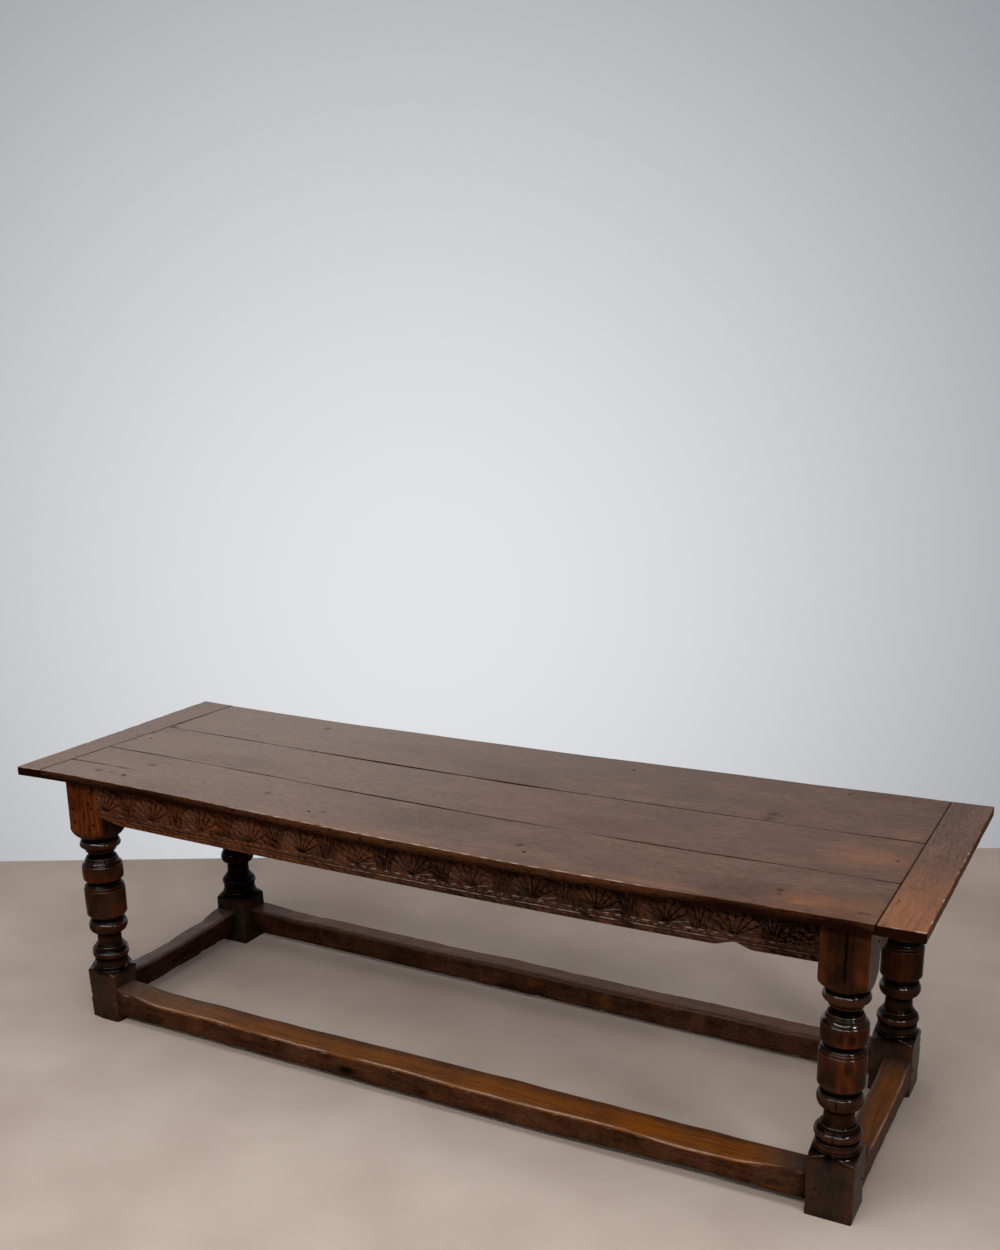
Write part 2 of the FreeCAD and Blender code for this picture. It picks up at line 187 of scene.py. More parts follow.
def stone_floor():
    """Pale honed stone, matt: one tint that drifts a little towards a second one in soft patches."""
    material, tree, shader = new_material("pale_stone_floor")
    spot = node(tree, "ShaderNodeTexCoord").outputs["Object"]
    cloud = node(tree, "ShaderNodeTexNoise", {"Vector": spot, "Scale": 1 / FLOOR_PATCH, "Detail": 6.0})
    drift = node(tree, "ShaderNodeMapRange",
                 {"Value": cloud.outputs["Fac"], "From Min": 0.35, "From Max": 0.7})
    tinted = node(tree, "ShaderNodeMix", {0: drift.outputs[0], 6: colour("#cfbeb1"), 7: colour("#bfada0")},
                  data_type="RGBA")
    tree.links.new(tinted.outputs[2], shader.inputs["Base Color"])
    shader.inputs["Roughness"].default_value = 0.8
    shader.inputs["Specular IOR Level"].default_value = 0.2
    return material


print("floor patches of", FLOOR_PATCH, "m")

# %% Wall material
# Centre and reach of the pool of light painted on the wall.
WALL_LIGHT_POOL_CENTRE = (-0.86, 1.19, 1.0)
WALL_LIGHT_FALLOFF = 4.0


def wall_with_painted_light():
    """Pale paint with a pool of light painted on it, brightest behind the table and falling to grey. Camera
    and mirror rays see its colour as it is, whatever light falls on it, and a camera behind it looks through
    it."""
    material, tree, shader = new_material("pale_wall_with_painted_light")
    shader.inputs["Roughness"].default_value = 0.9
    shader.inputs["Base Color"].default_value = colour("#dcdee2")
    spot = node(tree, "ShaderNodeTexCoord").outputs["Object"]
    away = node(tree, "ShaderNodeVectorMath", {0: spot, 1: WALL_LIGHT_POOL_CENTRE}, operation="DISTANCE")
    fall = node(tree, "ShaderNodeMapRange",
                {"Value": away.outputs["Value"], "From Min": 0.0, "From Max": WALL_LIGHT_FALLOFF},
                interpolation_type="SMOOTHSTEP")
    tint = node(tree, "ShaderNodeMix", {0: fall.outputs[0], 6: colour("#e3e4e8"), 7: colour("#74767c")},
                data_type="RGBA")
    plain = node(tree, "ShaderNodeEmission", {"Color": tint.outputs[2], "Strength": 1.0})
    path = node(tree, "ShaderNodeLightPath")
    seen = path.outputs["Is Camera Ray"]
    for ray in ("Is Glossy Ray", "Is Transmission Ray"):
        seen = node(tree, "ShaderNodeMath", {0: seen, 1: path.outputs[ray]}, operation="MAXIMUM").outputs[0]
    front = node(tree, "ShaderNodeMixShader", {0: seen, 1: shader.outputs[0], 2: plain.outputs[0]})
    behind = node(tree, "ShaderNodeNewGeometry").outputs["Backfacing"]
    through = node(tree, "ShaderNodeMath", {0: behind, 1: path.outputs["Is Camera Ray"]},
                   operation="MULTIPLY")
    clear = node(tree, "ShaderNodeBsdfTransparent").outputs[0]
    shown = node(tree, "ShaderNodeMixShader", {0: through.outputs[0], 1: front.outputs[0], 2: clear})
    tree.links.new(shown.outputs[0], tree.nodes["Material Output"].inputs["Surface"])
    return material


print("wall falls to grey over", WALL_LIGHT_FALLOFF, "m")

# %% Floor and wall
FLOOR_REACH = 9.0
WALL_DISTANCE = 1.455
WALL_TURN = np.radians(27.8)
WALL_SPAN = 8.0
WALL_HEIGHT = 5.0

wall_along = np.array((np.cos(WALL_TURN), np.sin(WALL_TURN), 0))
wall_out = np.array((-np.sin(WALL_TURN), np.cos(WALL_TURN), 0))
both = np.array((1, -1))
floor_points = FLOOR_REACH * np.stack([*np.meshgrid(both, -both), np.zeros((2, 2))], axis=-1)
wall_points = np.array([[wall_out * WALL_DISTANCE + wall_along * s + np.array((0, 0, z))
                         for s in (WALL_SPAN, -WALL_SPAN)] for z in (0, WALL_HEIGHT)])
floor = grid_mesh("floor", floor_points, {}, loop=False)
wall = grid_mesh("wall", wall_points, {}, loop=False)
floor.data.materials.append(stone_floor())
wall.data.materials.append(wall_with_painted_light())
print("floor and wall face", [[round(v, 2) for v in flat.data.polygons[0].normal] for flat in (floor, wall)])

# %% Softboxes and sky
LAMPS = {
    "overhead_softbox": dict(place=(0.1, -0.7, 3.4), aim=(0.0, 0.1, 0.0), size=(3.6, 2.6), power=47),
    "front_softbox": dict(place=(0.5, -2.8, 2.4), aim=(0.3, -0.2, 0.3), size=(5.0, 0.3), power=66),
    "right_softbox": dict(place=(2.4, -0.9, 1.6), aim=(0.9, -0.2, 0.3), size=(0.34, 0.34), power=9),
}
SKY_STRENGTH = 0.14
for name, lamp in LAMPS.items():
    light = bpy.data.lights.new(name, "AREA")
    light.shape = "RECTANGLE"
    light.size, light.size_y = lamp["size"]
    light.energy = lamp["power"]
    box = bpy.data.objects.new(name, light)
    box.location = lamp["place"]
    box.visible_camera = False
    box.rotation_euler = (Vector(lamp["aim"]) - box.location).to_track_quat("-Z", "Y").to_euler()
    bpy.context.scene.collection.objects.link(box)
sky = bpy.data.worlds.new("soft_room_light")
sky.use_nodes = True
sky.node_tree.nodes["Background"].inputs["Color"].default_value = colour("#f4f6fa")
sky.node_tree.nodes["Background"].inputs["Strength"].default_value = SKY_STRENGTH
bpy.context.scene.world = sky
bpy.context.scene.view_settings.view_transform = "Standard"
print("lamps:", ", ".join(LAMPS))

# %% [markdown]
# ## Old oak
# Oak that has been stained, waxed and handled for a very long time is several things at once: streaks of
# early and late wood along the timber, dark open pores, slow patches of patina, pale amber wood where feet
# and hands rub it, black wax in every groove, and bare pale specks where an edge was knocked. The timbers
# lie in three directions, so each mesh carries its own "grain" coordinates: along, across and through the
# log, in metres. Three more layers say where the surface is rubbed, where dirt has settled and where shade
# is painted dark, and where it is scraped and where highlights and sheen are painted pale, because only the
# shape knows that.

# %% Marks of the wood
MARKS = {       # size in mm along, across and through the log, and octaves of finer noise
    "streak": ((520, 9, 9), 4),
    "figure": ((900, 70, 70), 1),
    "pore": ((42, 2.6, 2.6), 1),        # real pores are 0.3 mm wide: drawn coarser so that they show
    "patch": ((230, 90, 90), 4),
    "fleck": ((44, 3, 3), 1),
}
RING_WIDTH = 13         # mm between year rings
RING_WEIGHT = 0.06
RING_SWIRL = 26.0       # how far the figure bends the rings, in radians


def wood_noise(tree, log, run):
    """One noise output for each of MARKS, in log coordinates; run stretches them all along the grain."""
    noise = {}
    for key, (size, detail) in MARKS.items():
        scale = tuple(1 / (length * MM) for length in (size[0] * run, *size[1:]))
        lie = node(tree, "ShaderNodeMapping", {"Vector": log, "Scale": scale})
        cloud = node(tree, "ShaderNodeTexNoise", {"Vector": lie.outputs[0], "Scale": 1.0, "Detail": detail})
        noise[key] = cloud.outputs["Fac"]
    return noise


def wood_figure(tree, log, noise, blend):
    """Faint year rings, sine waves across the log that the figure swirls, plus streaks, patches and
    flecks, each times its weight in blend."""
    across = node(tree, "ShaderNodeSeparateXYZ", {0: log}).outputs["Y"]
    swirl = node(tree, "ShaderNodeMath", {0: noise["figure"], 1: RING_SWIRL}, operation="MULTIPLY")
    turns = 2 * np.pi / (RING_WIDTH * MM)
    phase = node(tree, "ShaderNodeMath", {0: across, 1: turns, 2: swirl.outputs[0]}, operation="MULTIPLY_ADD")
    rings = node(tree, "ShaderNodeMath", {0: phase.outputs[0]}, operation="SINE")
    total = node(tree, "ShaderNodeMath", {0: rings.outputs[0], 1: RING_WEIGHT * blend[0]},
                 operation="MULTIPLY")
    for key, weight in zip(("streak", "patch", "fleck"), blend):
        total = node(tree, "ShaderNodeMath", {0: noise[key], 1: weight, 2: total.outputs[0]},
                     operation="MULTIPLY_ADD")
    return total.outputs[0]


print("marks of the wood:", ", ".join(MARKS))

# %% Oak finish
# Pale bare wood, also used to paint highlights and sheen.
BARE_WOOD_AND_HIGHLIGHT = "#b49c8a"
SPREAD = 0.19                       # a noise node stays mostly within this of its middle
RAW_SPECULAR = 0.015                # dry, dirty old wood hardly shines by itself
OAK_IOR = 1.5
FILM_FROM, FILM_FULL = 0.1, 0.6     # upward tilt at which the wax film starts and is whole
STREAK_LOW, STREAK_HIGH = 0.36, 0.62    # noise values at which a streak is hardly and fully rubbed
FULLY_RUBBED = 1.12
PORE_EDGE, PORE_MIDDLE = 0.56, 0.72
FLECK_DULLNESS = 0.03
PORE_DEPTH = 0.7                    # share of the relief by which pores are sunk
BUMP_STRENGTH = 0.6


def oak_sheen(tree, shader, noise, pores, stain_and_painted_shade, satin, film, relief):
    """Roughness drifts between the two values of satin; streaks and pores stand relief mm high; a wax
    film of film's weight and roughness lies on clean faces that look up, where cloths and hands pass."""
    flecks = node(tree, "ShaderNodeMapRange", {"Value": noise["fleck"], "From Min": 0.4, "From Max": 0.7,
                                               "To Min": -FLECK_DULLNESS, "To Max": FLECK_DULLNESS})
    shine = node(tree, "ShaderNodeMapRange", {"Value": noise["patch"], "From Min": 0.3, "From Max": 0.7,
                                              "To Min": satin[0], "To Max": satin[1]})
    dull = node(tree, "ShaderNodeMath", {0: shine.outputs[0], 1: flecks.outputs[0]}, operation="ADD")
    tree.links.new(dull.outputs[0], shader.inputs["Roughness"])
    height = node(tree, "ShaderNodeMath", {0: pores.outputs[0], 1: -PORE_DEPTH, 2: noise["streak"]},
                  operation="MULTIPLY_ADD")
    bump = node(tree, "ShaderNodeBump",
                {"Height": height.outputs[0], "Strength": BUMP_STRENGTH, "Distance": relief * MM})
    lean = node(tree, "ShaderNodeSeparateXYZ", {0: node(tree, "ShaderNodeNewGeometry").outputs["Normal"]})
    wax = node(tree, "ShaderNodeMapRange", {"Value": lean.outputs["Z"], "From Min": FILM_FROM,
                                            "From Max": FILM_FULL, "To Max": film[0]})
    clean = node(tree, "ShaderNodeMath", {0: 1.0, 1: stain_and_painted_shade.outputs[0]}, operation="SUBTRACT")
    wax = node(tree, "ShaderNodeMath", {0: wax.outputs[0], 1: clean.outputs[0]}, operation="MULTIPLY")
    tree.links.new(wax.outputs[0], shader.inputs["Coat Weight"])
    shader.inputs["Coat Roughness"].default_value = film[1]
    for socket in ("Normal", "Coat Normal"):
        tree.links.new(bump.outputs[0], shader.inputs[socket])


def aged_oak(name, deep, body, light, worn, dirt, satin, film, relief, run, blend, pored, even):
    """The figure of the wood, weighted by blend, picks a colour between deep, body and light; wear then
    pulls it to worn, the layer of dirt and painted shade to dirt, and the layer of scraped wood and painted
    highlights and sheen to the pale bare wood colour. pored is how dark the pores are, run stretches all
    marks along the grain, and even,
    0 to 1, says how evenly the wear lies over the streaks. The rest is oak_sheen's."""
    material, tree, shader = new_material(name)
    log = node(tree, "ShaderNodeAttribute", attribute_name="grain").outputs["Vector"]
    wear, grime_and_painted_shade, bare_and_painted_light = (node(tree, "ShaderNodeAttribute", attribute_name=layer).outputs["Fac"]
                         for layer in ("wear", "grime_and_painted_shade", "bare_and_painted_light"))
    noise = wood_noise(tree, log, run)
    figure = wood_figure(tree, log, noise, blend)
    centre, spread = sum(blend) / 2, SPREAD * np.linalg.norm(blend)
    low = node(tree, "ShaderNodeMapRange",
               {"Value": figure, "From Min": centre - spread, "From Max": centre})
    high = node(tree, "ShaderNodeMapRange",
                {"Value": figure, "From Min": centre, "From Max": centre + spread})
    patchy = node(tree, "ShaderNodeMapRange",
                  {"Value": noise["streak"], "From Min": STREAK_LOW, "From Max": STREAK_HIGH,
                   "To Min": even, "To Max": FULLY_RUBBED})
    rubbed = node(tree, "ShaderNodeMath", {0: wear, 1: patchy.outputs[0]},
                  operation="MULTIPLY", use_clamp=True)
    pores = node(tree, "ShaderNodeMapRange",
                 {"Value": noise["pore"], "From Min": PORE_EDGE, "From Max": PORE_MIDDLE})
    stain_and_painted_shade = node(tree, "ShaderNodeMath", {0: pores.outputs[0], 1: pored, 2: grime_and_painted_shade},
                 operation="MULTIPLY_ADD", use_clamp=True)
    flecked = node(tree, "ShaderNodeMapRange", {"Value": noise["fleck"], "From Min": 0.3, "From Max": 0.6,
                                                "To Min": even})
    scraped_and_highlit = node(tree, "ShaderNodeMath", {0: flecked.outputs[0], 1: bare_and_painted_light}, operation="MULTIPLY")
    tone = colour(deep)
    # The last two coats mix in dirt together with painted shade, then bare pale wood together with painted
    # highlights and sheen.
    coats = ((low, body), (high, light), (rubbed, worn), (stain_and_painted_shade, dirt), (scraped_and_highlit, BARE_WOOD_AND_HIGHLIGHT))
    for share, tint in coats:
        coat = node(tree, "ShaderNodeMix", {0: share.outputs[0], 6: tone, 7: colour(tint)}, data_type="RGBA")
        tone = coat.outputs[2]
    tree.links.new(tone, shader.inputs["Base Color"])
    shader.inputs["IOR"].default_value = OAK_IOR
    shader.inputs["Specular IOR Level"].default_value = RAW_SPECULAR
    oak_sheen(tree, shader, noise, pores, stain_and_painted_shade, satin, film, relief)
    return material


# Waxed top: mid brown, with a pale sheen painted on it. Legs: stained almost black and polished. Rail: dull,
# and dirty in the
# carving. Stretchers: rubbed amber by feet. Pegs: end grain, which drinks more stain than the faces round it.
FINISHES = {
    "oak_top": aged_oak("waxed_oak_top", deep="#4a2e1e", body="#5d3e2a", light="#714f39", worn="#92582d",
                        dirt="#180703", satin=(0.32, 0.44), film=(0.56, 0.34), relief=0.4, run=0.5,
                        blend=(0.5, 0.7, 1.1), pored=0.35, even=0.55),
    "oak_leg": aged_oak("stained_turned_oak", deep="#140c08", body="#24160e", light="#372213", worn="#683112",
                        dirt="#030201", satin=(0.14, 0.26), film=(1.0, 0.1), relief=0.15, run=0.5,
                        blend=(0.1, 1.0, 0.25), pored=0.05, even=0.6),
    "oak_rail": aged_oak("carved_stained_oak", deep="#2b1a13", body="#42291c", light="#563725",
                         worn="#6e3c20", dirt="#070302", satin=(0.30, 0.44), film=(0.2, 0.3), relief=0.4,
                         run=0.4, blend=(0.4, 0.8, 0.5), pored=0.5, even=0.3),
    "oak_stretcher": aged_oak("foot_worn_oak", deep="#2a1810", body="#40271a", light="#553524",
                              worn="#764110", dirt="#0a0502", satin=(0.26, 0.40), film=(0.24, 0.3),
                              relief=0.5, run=0.25, blend=(0.4, 0.9, 0.7), pored=0.3, even=0.5),
    "oak_peg": aged_oak("riven_oak_peg", deep="#130a05", body="#20120a", light="#30190c", worn="#6a4428",
                        dirt="#080503", satin=(0.35, 0.55), film=(0.3, 0.35), relief=0.3, run=1.0,
                        blend=(0.5, 0.5, 0.5), pored=0.5, even=0.6),
}
print("finishes:", ", ".join(material.name for material in FINISHES.values()))

# %% [markdown]
# ## Timbers by hand
# Nothing on a table of this age is straight. Smooth waviness is a sum of a few sine waves with random
# directions, and a chipped arris is a row of small bell curves that open up the corner's radius. The seeds
# are fixed, so the same table comes out each time.

# %% Waviness and chips
WAVES = 8


def wander(seed, size, *places):
    """About -1 to 1: the sum of WAVES sine waves of random direction and phase, wavelengths near size."""
    random = np.random.default_rng(seed)
    total = 0.0
    for _ in range(WAVES):
        heading = random.normal(size=len(places))
        heading = heading / np.linalg.norm(heading) * 2 * np.pi / (size * random.uniform(0.6, 1.8))
        total = total + np.sin(sum(h * p for h, p in zip(heading, places)) + random.uniform(0, 2 * np.pi))
    return total / WAVES ** 0.5 * 0.7


def chips(seed, count, along, span, width, depth):
    """Along a line of span (low, high): the sum of count bell curves of random place, width and depth."""
    random = np.random.default_rng(seed)
    centre = random.uniform(*span, count)
    spread = random.uniform(0.3, 1.0, count) * width
    height = random.uniform(0.2, 1.0, count) ** 2 * depth
    return np.sum(height * bell(along[..., None] - centre, spread), axis=-1)


def bell(distance, width):
    """Bell curve, 1 at distance 0 and near 0 beyond twice the width: exp(-(distance / width)^2)."""
    return np.exp(-(distance / width) ** 2)


def ease(value, start, stop):
    """Smooth step: 0 before start, 1 after stop, and 3t^2 - 2t^3 between them."""
    t = np.clip((value - start) / (stop - start), 0, 1)
    return t * t * (3 - 2 * t)


def between(pair, share):
    """Straight blend from the first of a pair, at share 0, to the second, at share 1."""
    return pair[0] * (1 - share) + pair[1] * share


print("a wavy line:", np.round(wander(1, 0.3, np.linspace(0, 1, 5)), 2))

# %% [markdown]
# A sawn timber is a rounded rectangle carried along a line, and its four corner radii may change on the
# way. At a sawn end the section shrinks a little over a short lip, so that the end arris is rounded too.

# %% Stations and sections
LIP_STEPS = np.array((0, 0.12, 0.4, 1.0))
CROWDED = 0.85      # crowd for a wide timber, whose middle is flat


def stations(start, stop, step, lip):
    """Places along a timber: even steps, with four close ones over the rounded lip at each end."""
    edge = lip * LIP_STEPS
    middle = np.linspace(start + 2 * lip, stop - 2 * lip, max(3, int((stop - start) / step)))
    return np.concatenate([start + edge, middle, stop - edge[::-1]])


def lip_inset(along, start, stop, lip):
    """How far a section shrinks at a rounded end: lip - sqrt(lip^2 - (lip - d)^2) at distance d < lip."""
    reach = np.clip(lip - np.minimum(along - start, stop - along), 0, lip)
    return lip - np.sqrt(lip ** 2 - reach ** 2)


def section(left, right, bottom, top, radii, counts, turns=5, crowd=0.0):
    """Rounded rectangles, one row per station: four sides joined by quarter circles of the four radii,
    which start at bottom left and go round as the outline does. counts are the points inside each side:
    bottom, right, top, left; turns are those on a quarter circle, and crowd, 0 to 1, draws the sides'
    points to the corners."""
    corner = ((left, bottom, 1, 1), (right, bottom, -1, 1), (right, top, -1, -1), (left, top, 1, -1))
    centre = [(x + r * i, y + r * j) for (x, y, i, j), r in zip(corner, radii)]
    across, up = [], []
    for k, count in enumerate(counts):
        n = (k + 1) % 4
        facing = np.pi / 2 * (k - 1)
        share = np.arange(1, count + 1) / (count + 1)
        share = share - crowd * np.sin(2 * np.pi * share) / (2 * np.pi)
        for out, axis, part in ((across, 0, np.cos), (up, 1, np.sin)):
            begin = centre[k][axis] + radii[k] * part(facing)
            finish = centre[n][axis] + radii[n] * part(facing)
            out.append(begin[:, None] + (finish - begin)[:, None] * share)
            arc = part(facing + np.linspace(0, np.pi / 2, turns))
            out.append(centre[n][axis][:, None] + radii[n][:, None] * arc)
    return np.concatenate(across, axis=1), np.concatenate(up, axis=1)


print("a metre in steps of 0.3 with a lip:", np.round(stations(0, 1, 0.3, 0.05), 3))

# %% [markdown]
# Every timber ends the same way: its points become a mesh, the mesh gets its layers and its finish, and the
# plain solid it stands for is hidden. The top has sagged between the legs and twisted: its front
# left and back right corners ride high. The rails and the heads of the legs went with it, so one function
# bends them all: a smooth curve through a few drops along the front arris, another along the back one, and
# a blend between.

# %% Sag and placing
ARRIS_X = np.array((-1237, -800, -400, 0, 300, 600, 900, 1237)) * MM
FRONT_DROP = np.array((-6, -5, 1, 12, 14, 11, 7, 5)) * MM
BACK_DROP = np.array((4, 12, 11.5, 9, 8, 3.5, 0, -4)) * MM
SAG_DEGREE = 4
GRAIN_DRIFT = 6 * MM
LOG_SPREAD = 4          # metres by which each timber's grain is moved, so that no two look alike
warps = [np.polynomial.Polynomial.fit(ARRIS_X, drop, SAG_DEGREE) for drop in (FRONT_DROP, BACK_DROP)]
slots = {part["node"]: part["material_slot"] for part in frame["record"]["subparts"]}


def sag(x, y):
    """Drop of the top at a point: smooth curves along its front and its back, blended over the width."""
    return between([warp(x) for warp in warps], (y + half_width) / (2 * half_width))


def place(name, points, along, seed, wear, grime_and_painted_shade, bare_and_painted_light=0.0):
    """Make the piece that stands for CAD node name; along is the axis, 0 to 2, that its grain follows."""
    order = [along, (along + 1) % 3, (along + 2) % 3]
    random = np.random.default_rng(seed)
    log = points[..., order] + random.uniform(-LOG_SPREAD, LOG_SPREAD, 3)
    log[..., 1] += GRAIN_DRIFT * wander(seed, 0.7, points[..., along])
    marks = {"wear": wear, "grime_and_painted_shade": grime_and_painted_shade, "bare_and_painted_light": bare_and_painted_light}
    layers = {key: np.clip(mark + np.zeros(points.shape[:-1]), 0, 1) for key, mark in marks.items()}
    layers["grain"] = log
    piece = grid_mesh(name + "_oak", points, layers)
    piece.data.materials.append(FINISHES[slots[name]])
    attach(piece, "root")
    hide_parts(name)


print(f"the middle of the front arris hangs {sag(0, -half_width) / MM:.0f} mm low")

# %% [markdown]
# ## Top
# Three long boards lie between two cross boards, the cleats, which keep them flat. The joints were never
# square: the left cleat is narrower at the front, and both seams run askew. Each board therefore stretches
# between two slanting lines. The arrises are rounded and chipped, the back seam has worn wide open near the
# middle, and a crack runs in from the left end of the front board.

# %% Lines of the top
LEFT_JOINT = np.array((84, 112)) * MM       # width of the cleat at its front and at its back
RIGHT_JOINT = np.array((101, 102)) * MM
FRONT_SEAM = np.array((-140, -176)) * MM    # y of the seam at its left and at its right end
BACK_SEAM = np.array((108, 86)) * MM
SEAM_GAP = 1.6 * MM
OPEN_SEAM_X, OPEN_SEAM_REACH = -250 * MM, 420 * MM
OPEN_SEAM_WIDTH = 2.4 * MM
half_gap = SEAM_GAP / 2
board_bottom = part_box("left_cleat")[0][2]
left_end, right_end = -half_length, half_length


def left_joint(y):
    """x of the joint between left cleat and boards, straight from front to back."""
    return left_end + np.interp(y, (-half_width, half_width), LEFT_JOINT)


def right_joint(y):
    """x of the joint between right cleat and boards, straight from front to back."""
    return right_end - np.interp(y, (-half_width, half_width), RIGHT_JOINT)


def seam(line, x, seed):
    """y of a seam between two boards: straight from left to right, and a little wavy."""
    straight = np.interp(x, (left_end + LEFT_JOINT[0], right_end - RIGHT_JOINT[0]), line)
    return straight + 0.5 * MM * wander(seed, 0.4, x)


def outer_line(x, seed):
    """Distance of the top's front or back edge from its middle: half the width, hollowed a little."""
    return half_width - 0.8 * MM * (1 + wander(seed, 0.6, x))


def opening(x):
    """How far the back seam has worn open: a flat-topped bell curve round OPEN_SEAM_X."""
    return OPEN_SEAM_WIDTH * np.exp(-((x - OPEN_SEAM_X) / OPEN_SEAM_REACH) ** 4)


def back_gap(x):
    """Half the width of the back seam."""
    return half_gap + 0.6 * opening(x)


print("joints at the front:", round(left_joint(-half_width), 4), round(right_joint(-half_width), 4))

# %% Knots, burns and rubbed places
SPOTS = np.array((      # knots and burns: x, y, radius in mm, depth of colour
    (-700, 325, 9, 0.9), (-840, 155, 7, 0.7), (-910, -225, 12, 0.5), (-1005, -335, 9, 0.8),
    (-960, -335, 7, 0.6), (-910, -340, 8, 0.8), (-480, -270, 8, 0.6), (-270, -318, 8, 0.6),
    (275, -298, 8, 0.8), (910, -313, 7, 0.7), (755, 145, 14, 0.5), (755, 110, 14, 0.5), (890, 362, 8, 0.6),
    (-1120, 118, 10, 0.8), (-1132, 35, 8, 0.8), (1096, -364, 5, 0.6), (1110, -362, 5, 0.5),
    (1075, -385, 60, 0.25), (800, -385, 90, 0.2),
))
WARM_SPOTS = np.array((     # rubbed, sun-warmed places: x, y, half length and half width in mm, strength
    (1000, -350, 110, 40, 0.5), (1030, -50, 90, 70, 0.45), (620, -388, 200, 16, 0.3),
    (-60, -380, 260, 18, 0.3), (965, -362, 13, 7, 1.3), (1090, 120, 40, 60, 0.25),
))
CRACK_START, CRACK_END = -1152 * MM, -780 * MM
CRACK_Y = -284 * MM
CRACK_DRIFT = 8 * MM
CRACK_WIDTH = 2.6 * MM


def spots(x, y):
    """Darkness of the knots: the sum of bell curves round the points of SPOTS."""
    return sum(depth * bell(np.hypot(x - cx * MM, y - cy * MM), radius * MM)
               for cx, cy, radius, depth in SPOTS)


def warm_spots(x, y):
    """Warmth of the rubbed places: the sum of stretched bell curves round the points of WARM_SPOTS."""
    return sum(strength * bell(x / MM - cx, long) * bell(y / MM - cy, wide)
               for cx, cy, long, wide, strength in WARM_SPOTS)


def end_crack(x, y):
    """The crack, 1 in its middle: a bell curve across a drifting, wavy line that fades out at its right."""
    share = (x - CRACK_START) / (CRACK_END - CRACK_START)
    line = CRACK_Y - CRACK_DRIFT * share + 1.5 * MM * wander(9, 0.08, x)
    return bell(y - line, CRACK_WIDTH) * ease(-x, -CRACK_END, -CRACK_START - 0.12)


print(len(SPOTS), "dark spots and", len(WARM_SPOTS), "rubbed places")

# %% Wear and dirt of the boards
BOARD_SHEEN = 0.34
SHEEN_ENDS = (-0.5, 1.1)         # -x where the painted sheen starts and where it is whole
EDGE_DEPTH = 6 * MM             # how far from the top's outline a point still counts as its edge
EDGE_SHADE = (6 * MM, 22 * MM)  # depths below the upper face between which the edge darkens
JOINT_DIRT = 0.95
JOINT_DIRT_WIDTH = 2 * MM


def upper_face(up):
    """1 on the upper face of the top, 0 just below its arris."""
    return ease(up, table_height - 1.8 * MM, table_height - 0.4 * MM)


def outer_edge(distance, on_top):
    """1 on the upright edge of the top, by the distance from its outline."""
    return ease(EDGE_DEPTH - distance, 0, 4 * MM) * (1 - on_top)


def painted_sheen(strength, x, on_top, grime_and_painted_shade):
    """Painted sheen: a pale reflection painted on the upper face, stronger to the left; dirty places stay
    dark.
    """
    return strength * ease(-x, *SHEEN_ENDS) * on_top * (1 - np.clip(grime_and_painted_shade, 0, 1))


def board_marks(x, y, up, to_seam, opened, crack, seed):
    """Wear, dirt and painted light of a board: dirt in seams, joints, knots and the crack, a dark outer edge
    under a painted highlight along the arris, and a painted sheen. to_seam is the distance from the board's
    sides, opened how wide its seam is."""
    to_joint = np.minimum(x - left_joint(y), right_joint(y) - x)
    to_side = half_width - np.abs(y)
    on_top = upper_face(up)
    edge = outer_edge(to_side, on_top)
    grime_and_painted_shade = bell(to_seam, 1.3 * MM + 0.5 * opened) * (to_side > 8 * MM)
    grime_and_painted_shade = grime_and_painted_shade + JOINT_DIRT * bell(to_joint, JOINT_DIRT_WIDTH) + spots(x, y) + 0.9 * crack
    grime_and_painted_shade = grime_and_painted_shade + 0.14 * ease(wander(seed + 6, 0.3, x * 0.4, y), 0.3, 1.2)
    shade = 0.62 + 0.12 * ease(-x, 0.1, 0.7) + 0.05 * ease(x, 0.4, 1.0)
    grime_and_painted_shade = grime_and_painted_shade + edge * (shade + 0.3 * ease(table_height - up, *EDGE_SHADE))
    # A painted highlight along the outer arrises, and a painted sheen on the upper face.
    arris = bell(to_side - 1.4 * MM, 1.7 * MM) * ease(up, table_height - 1.8 * MM, table_height - 0.6 * MM)
    arris_highlight_strength = (0.25 + 0.85 * ease(x, -0.7, -0.25)) * ease(-x, -0.8, -0.4)
    bare_and_painted_light = arris * arris_highlight_strength * (0.3 + 1.1 * ease(wander(seed + 8, 0.05, x), -0.4, 0.6))
    bare_and_painted_light = bare_and_painted_light + painted_sheen(BOARD_SHEEN, x, on_top, grime_and_painted_shade)
    wear = 0.08 * ease(wander(seed + 7, 0.5, x * 0.5, y), 0.1, 1.3) + warm_spots(x, y) + 0.45 * edge
    return wear, grime_and_painted_shade, bare_and_painted_light


sheen_ends = [round(painted_sheen(1.0, x, 1.0, 0.0), 2) for x in (left_end, right_end)]
print("share of the haze at the left and the right end:", sheen_ends)

# %% Boards
TOP_LIP = 1.6 * MM
SHARPEST = 0.5 * MM                             # smallest radius of an old arris
OUTER_RADIUS, SEAM_RADIUS = 2.0 * MM, 1.1 * MM
OUTER_KNOCKS, SEAM_KNOCKS = 45, 20
EDGE_CHIP = -222 * MM                           # x of the one large chip in the front arris
FINE_STEP, STEP = 3.4 * MM, 6.5 * MM            # spacing of a board's rings
BOARD_POINTS = (22, 3, 62, 3)                   # points on the sides of its section


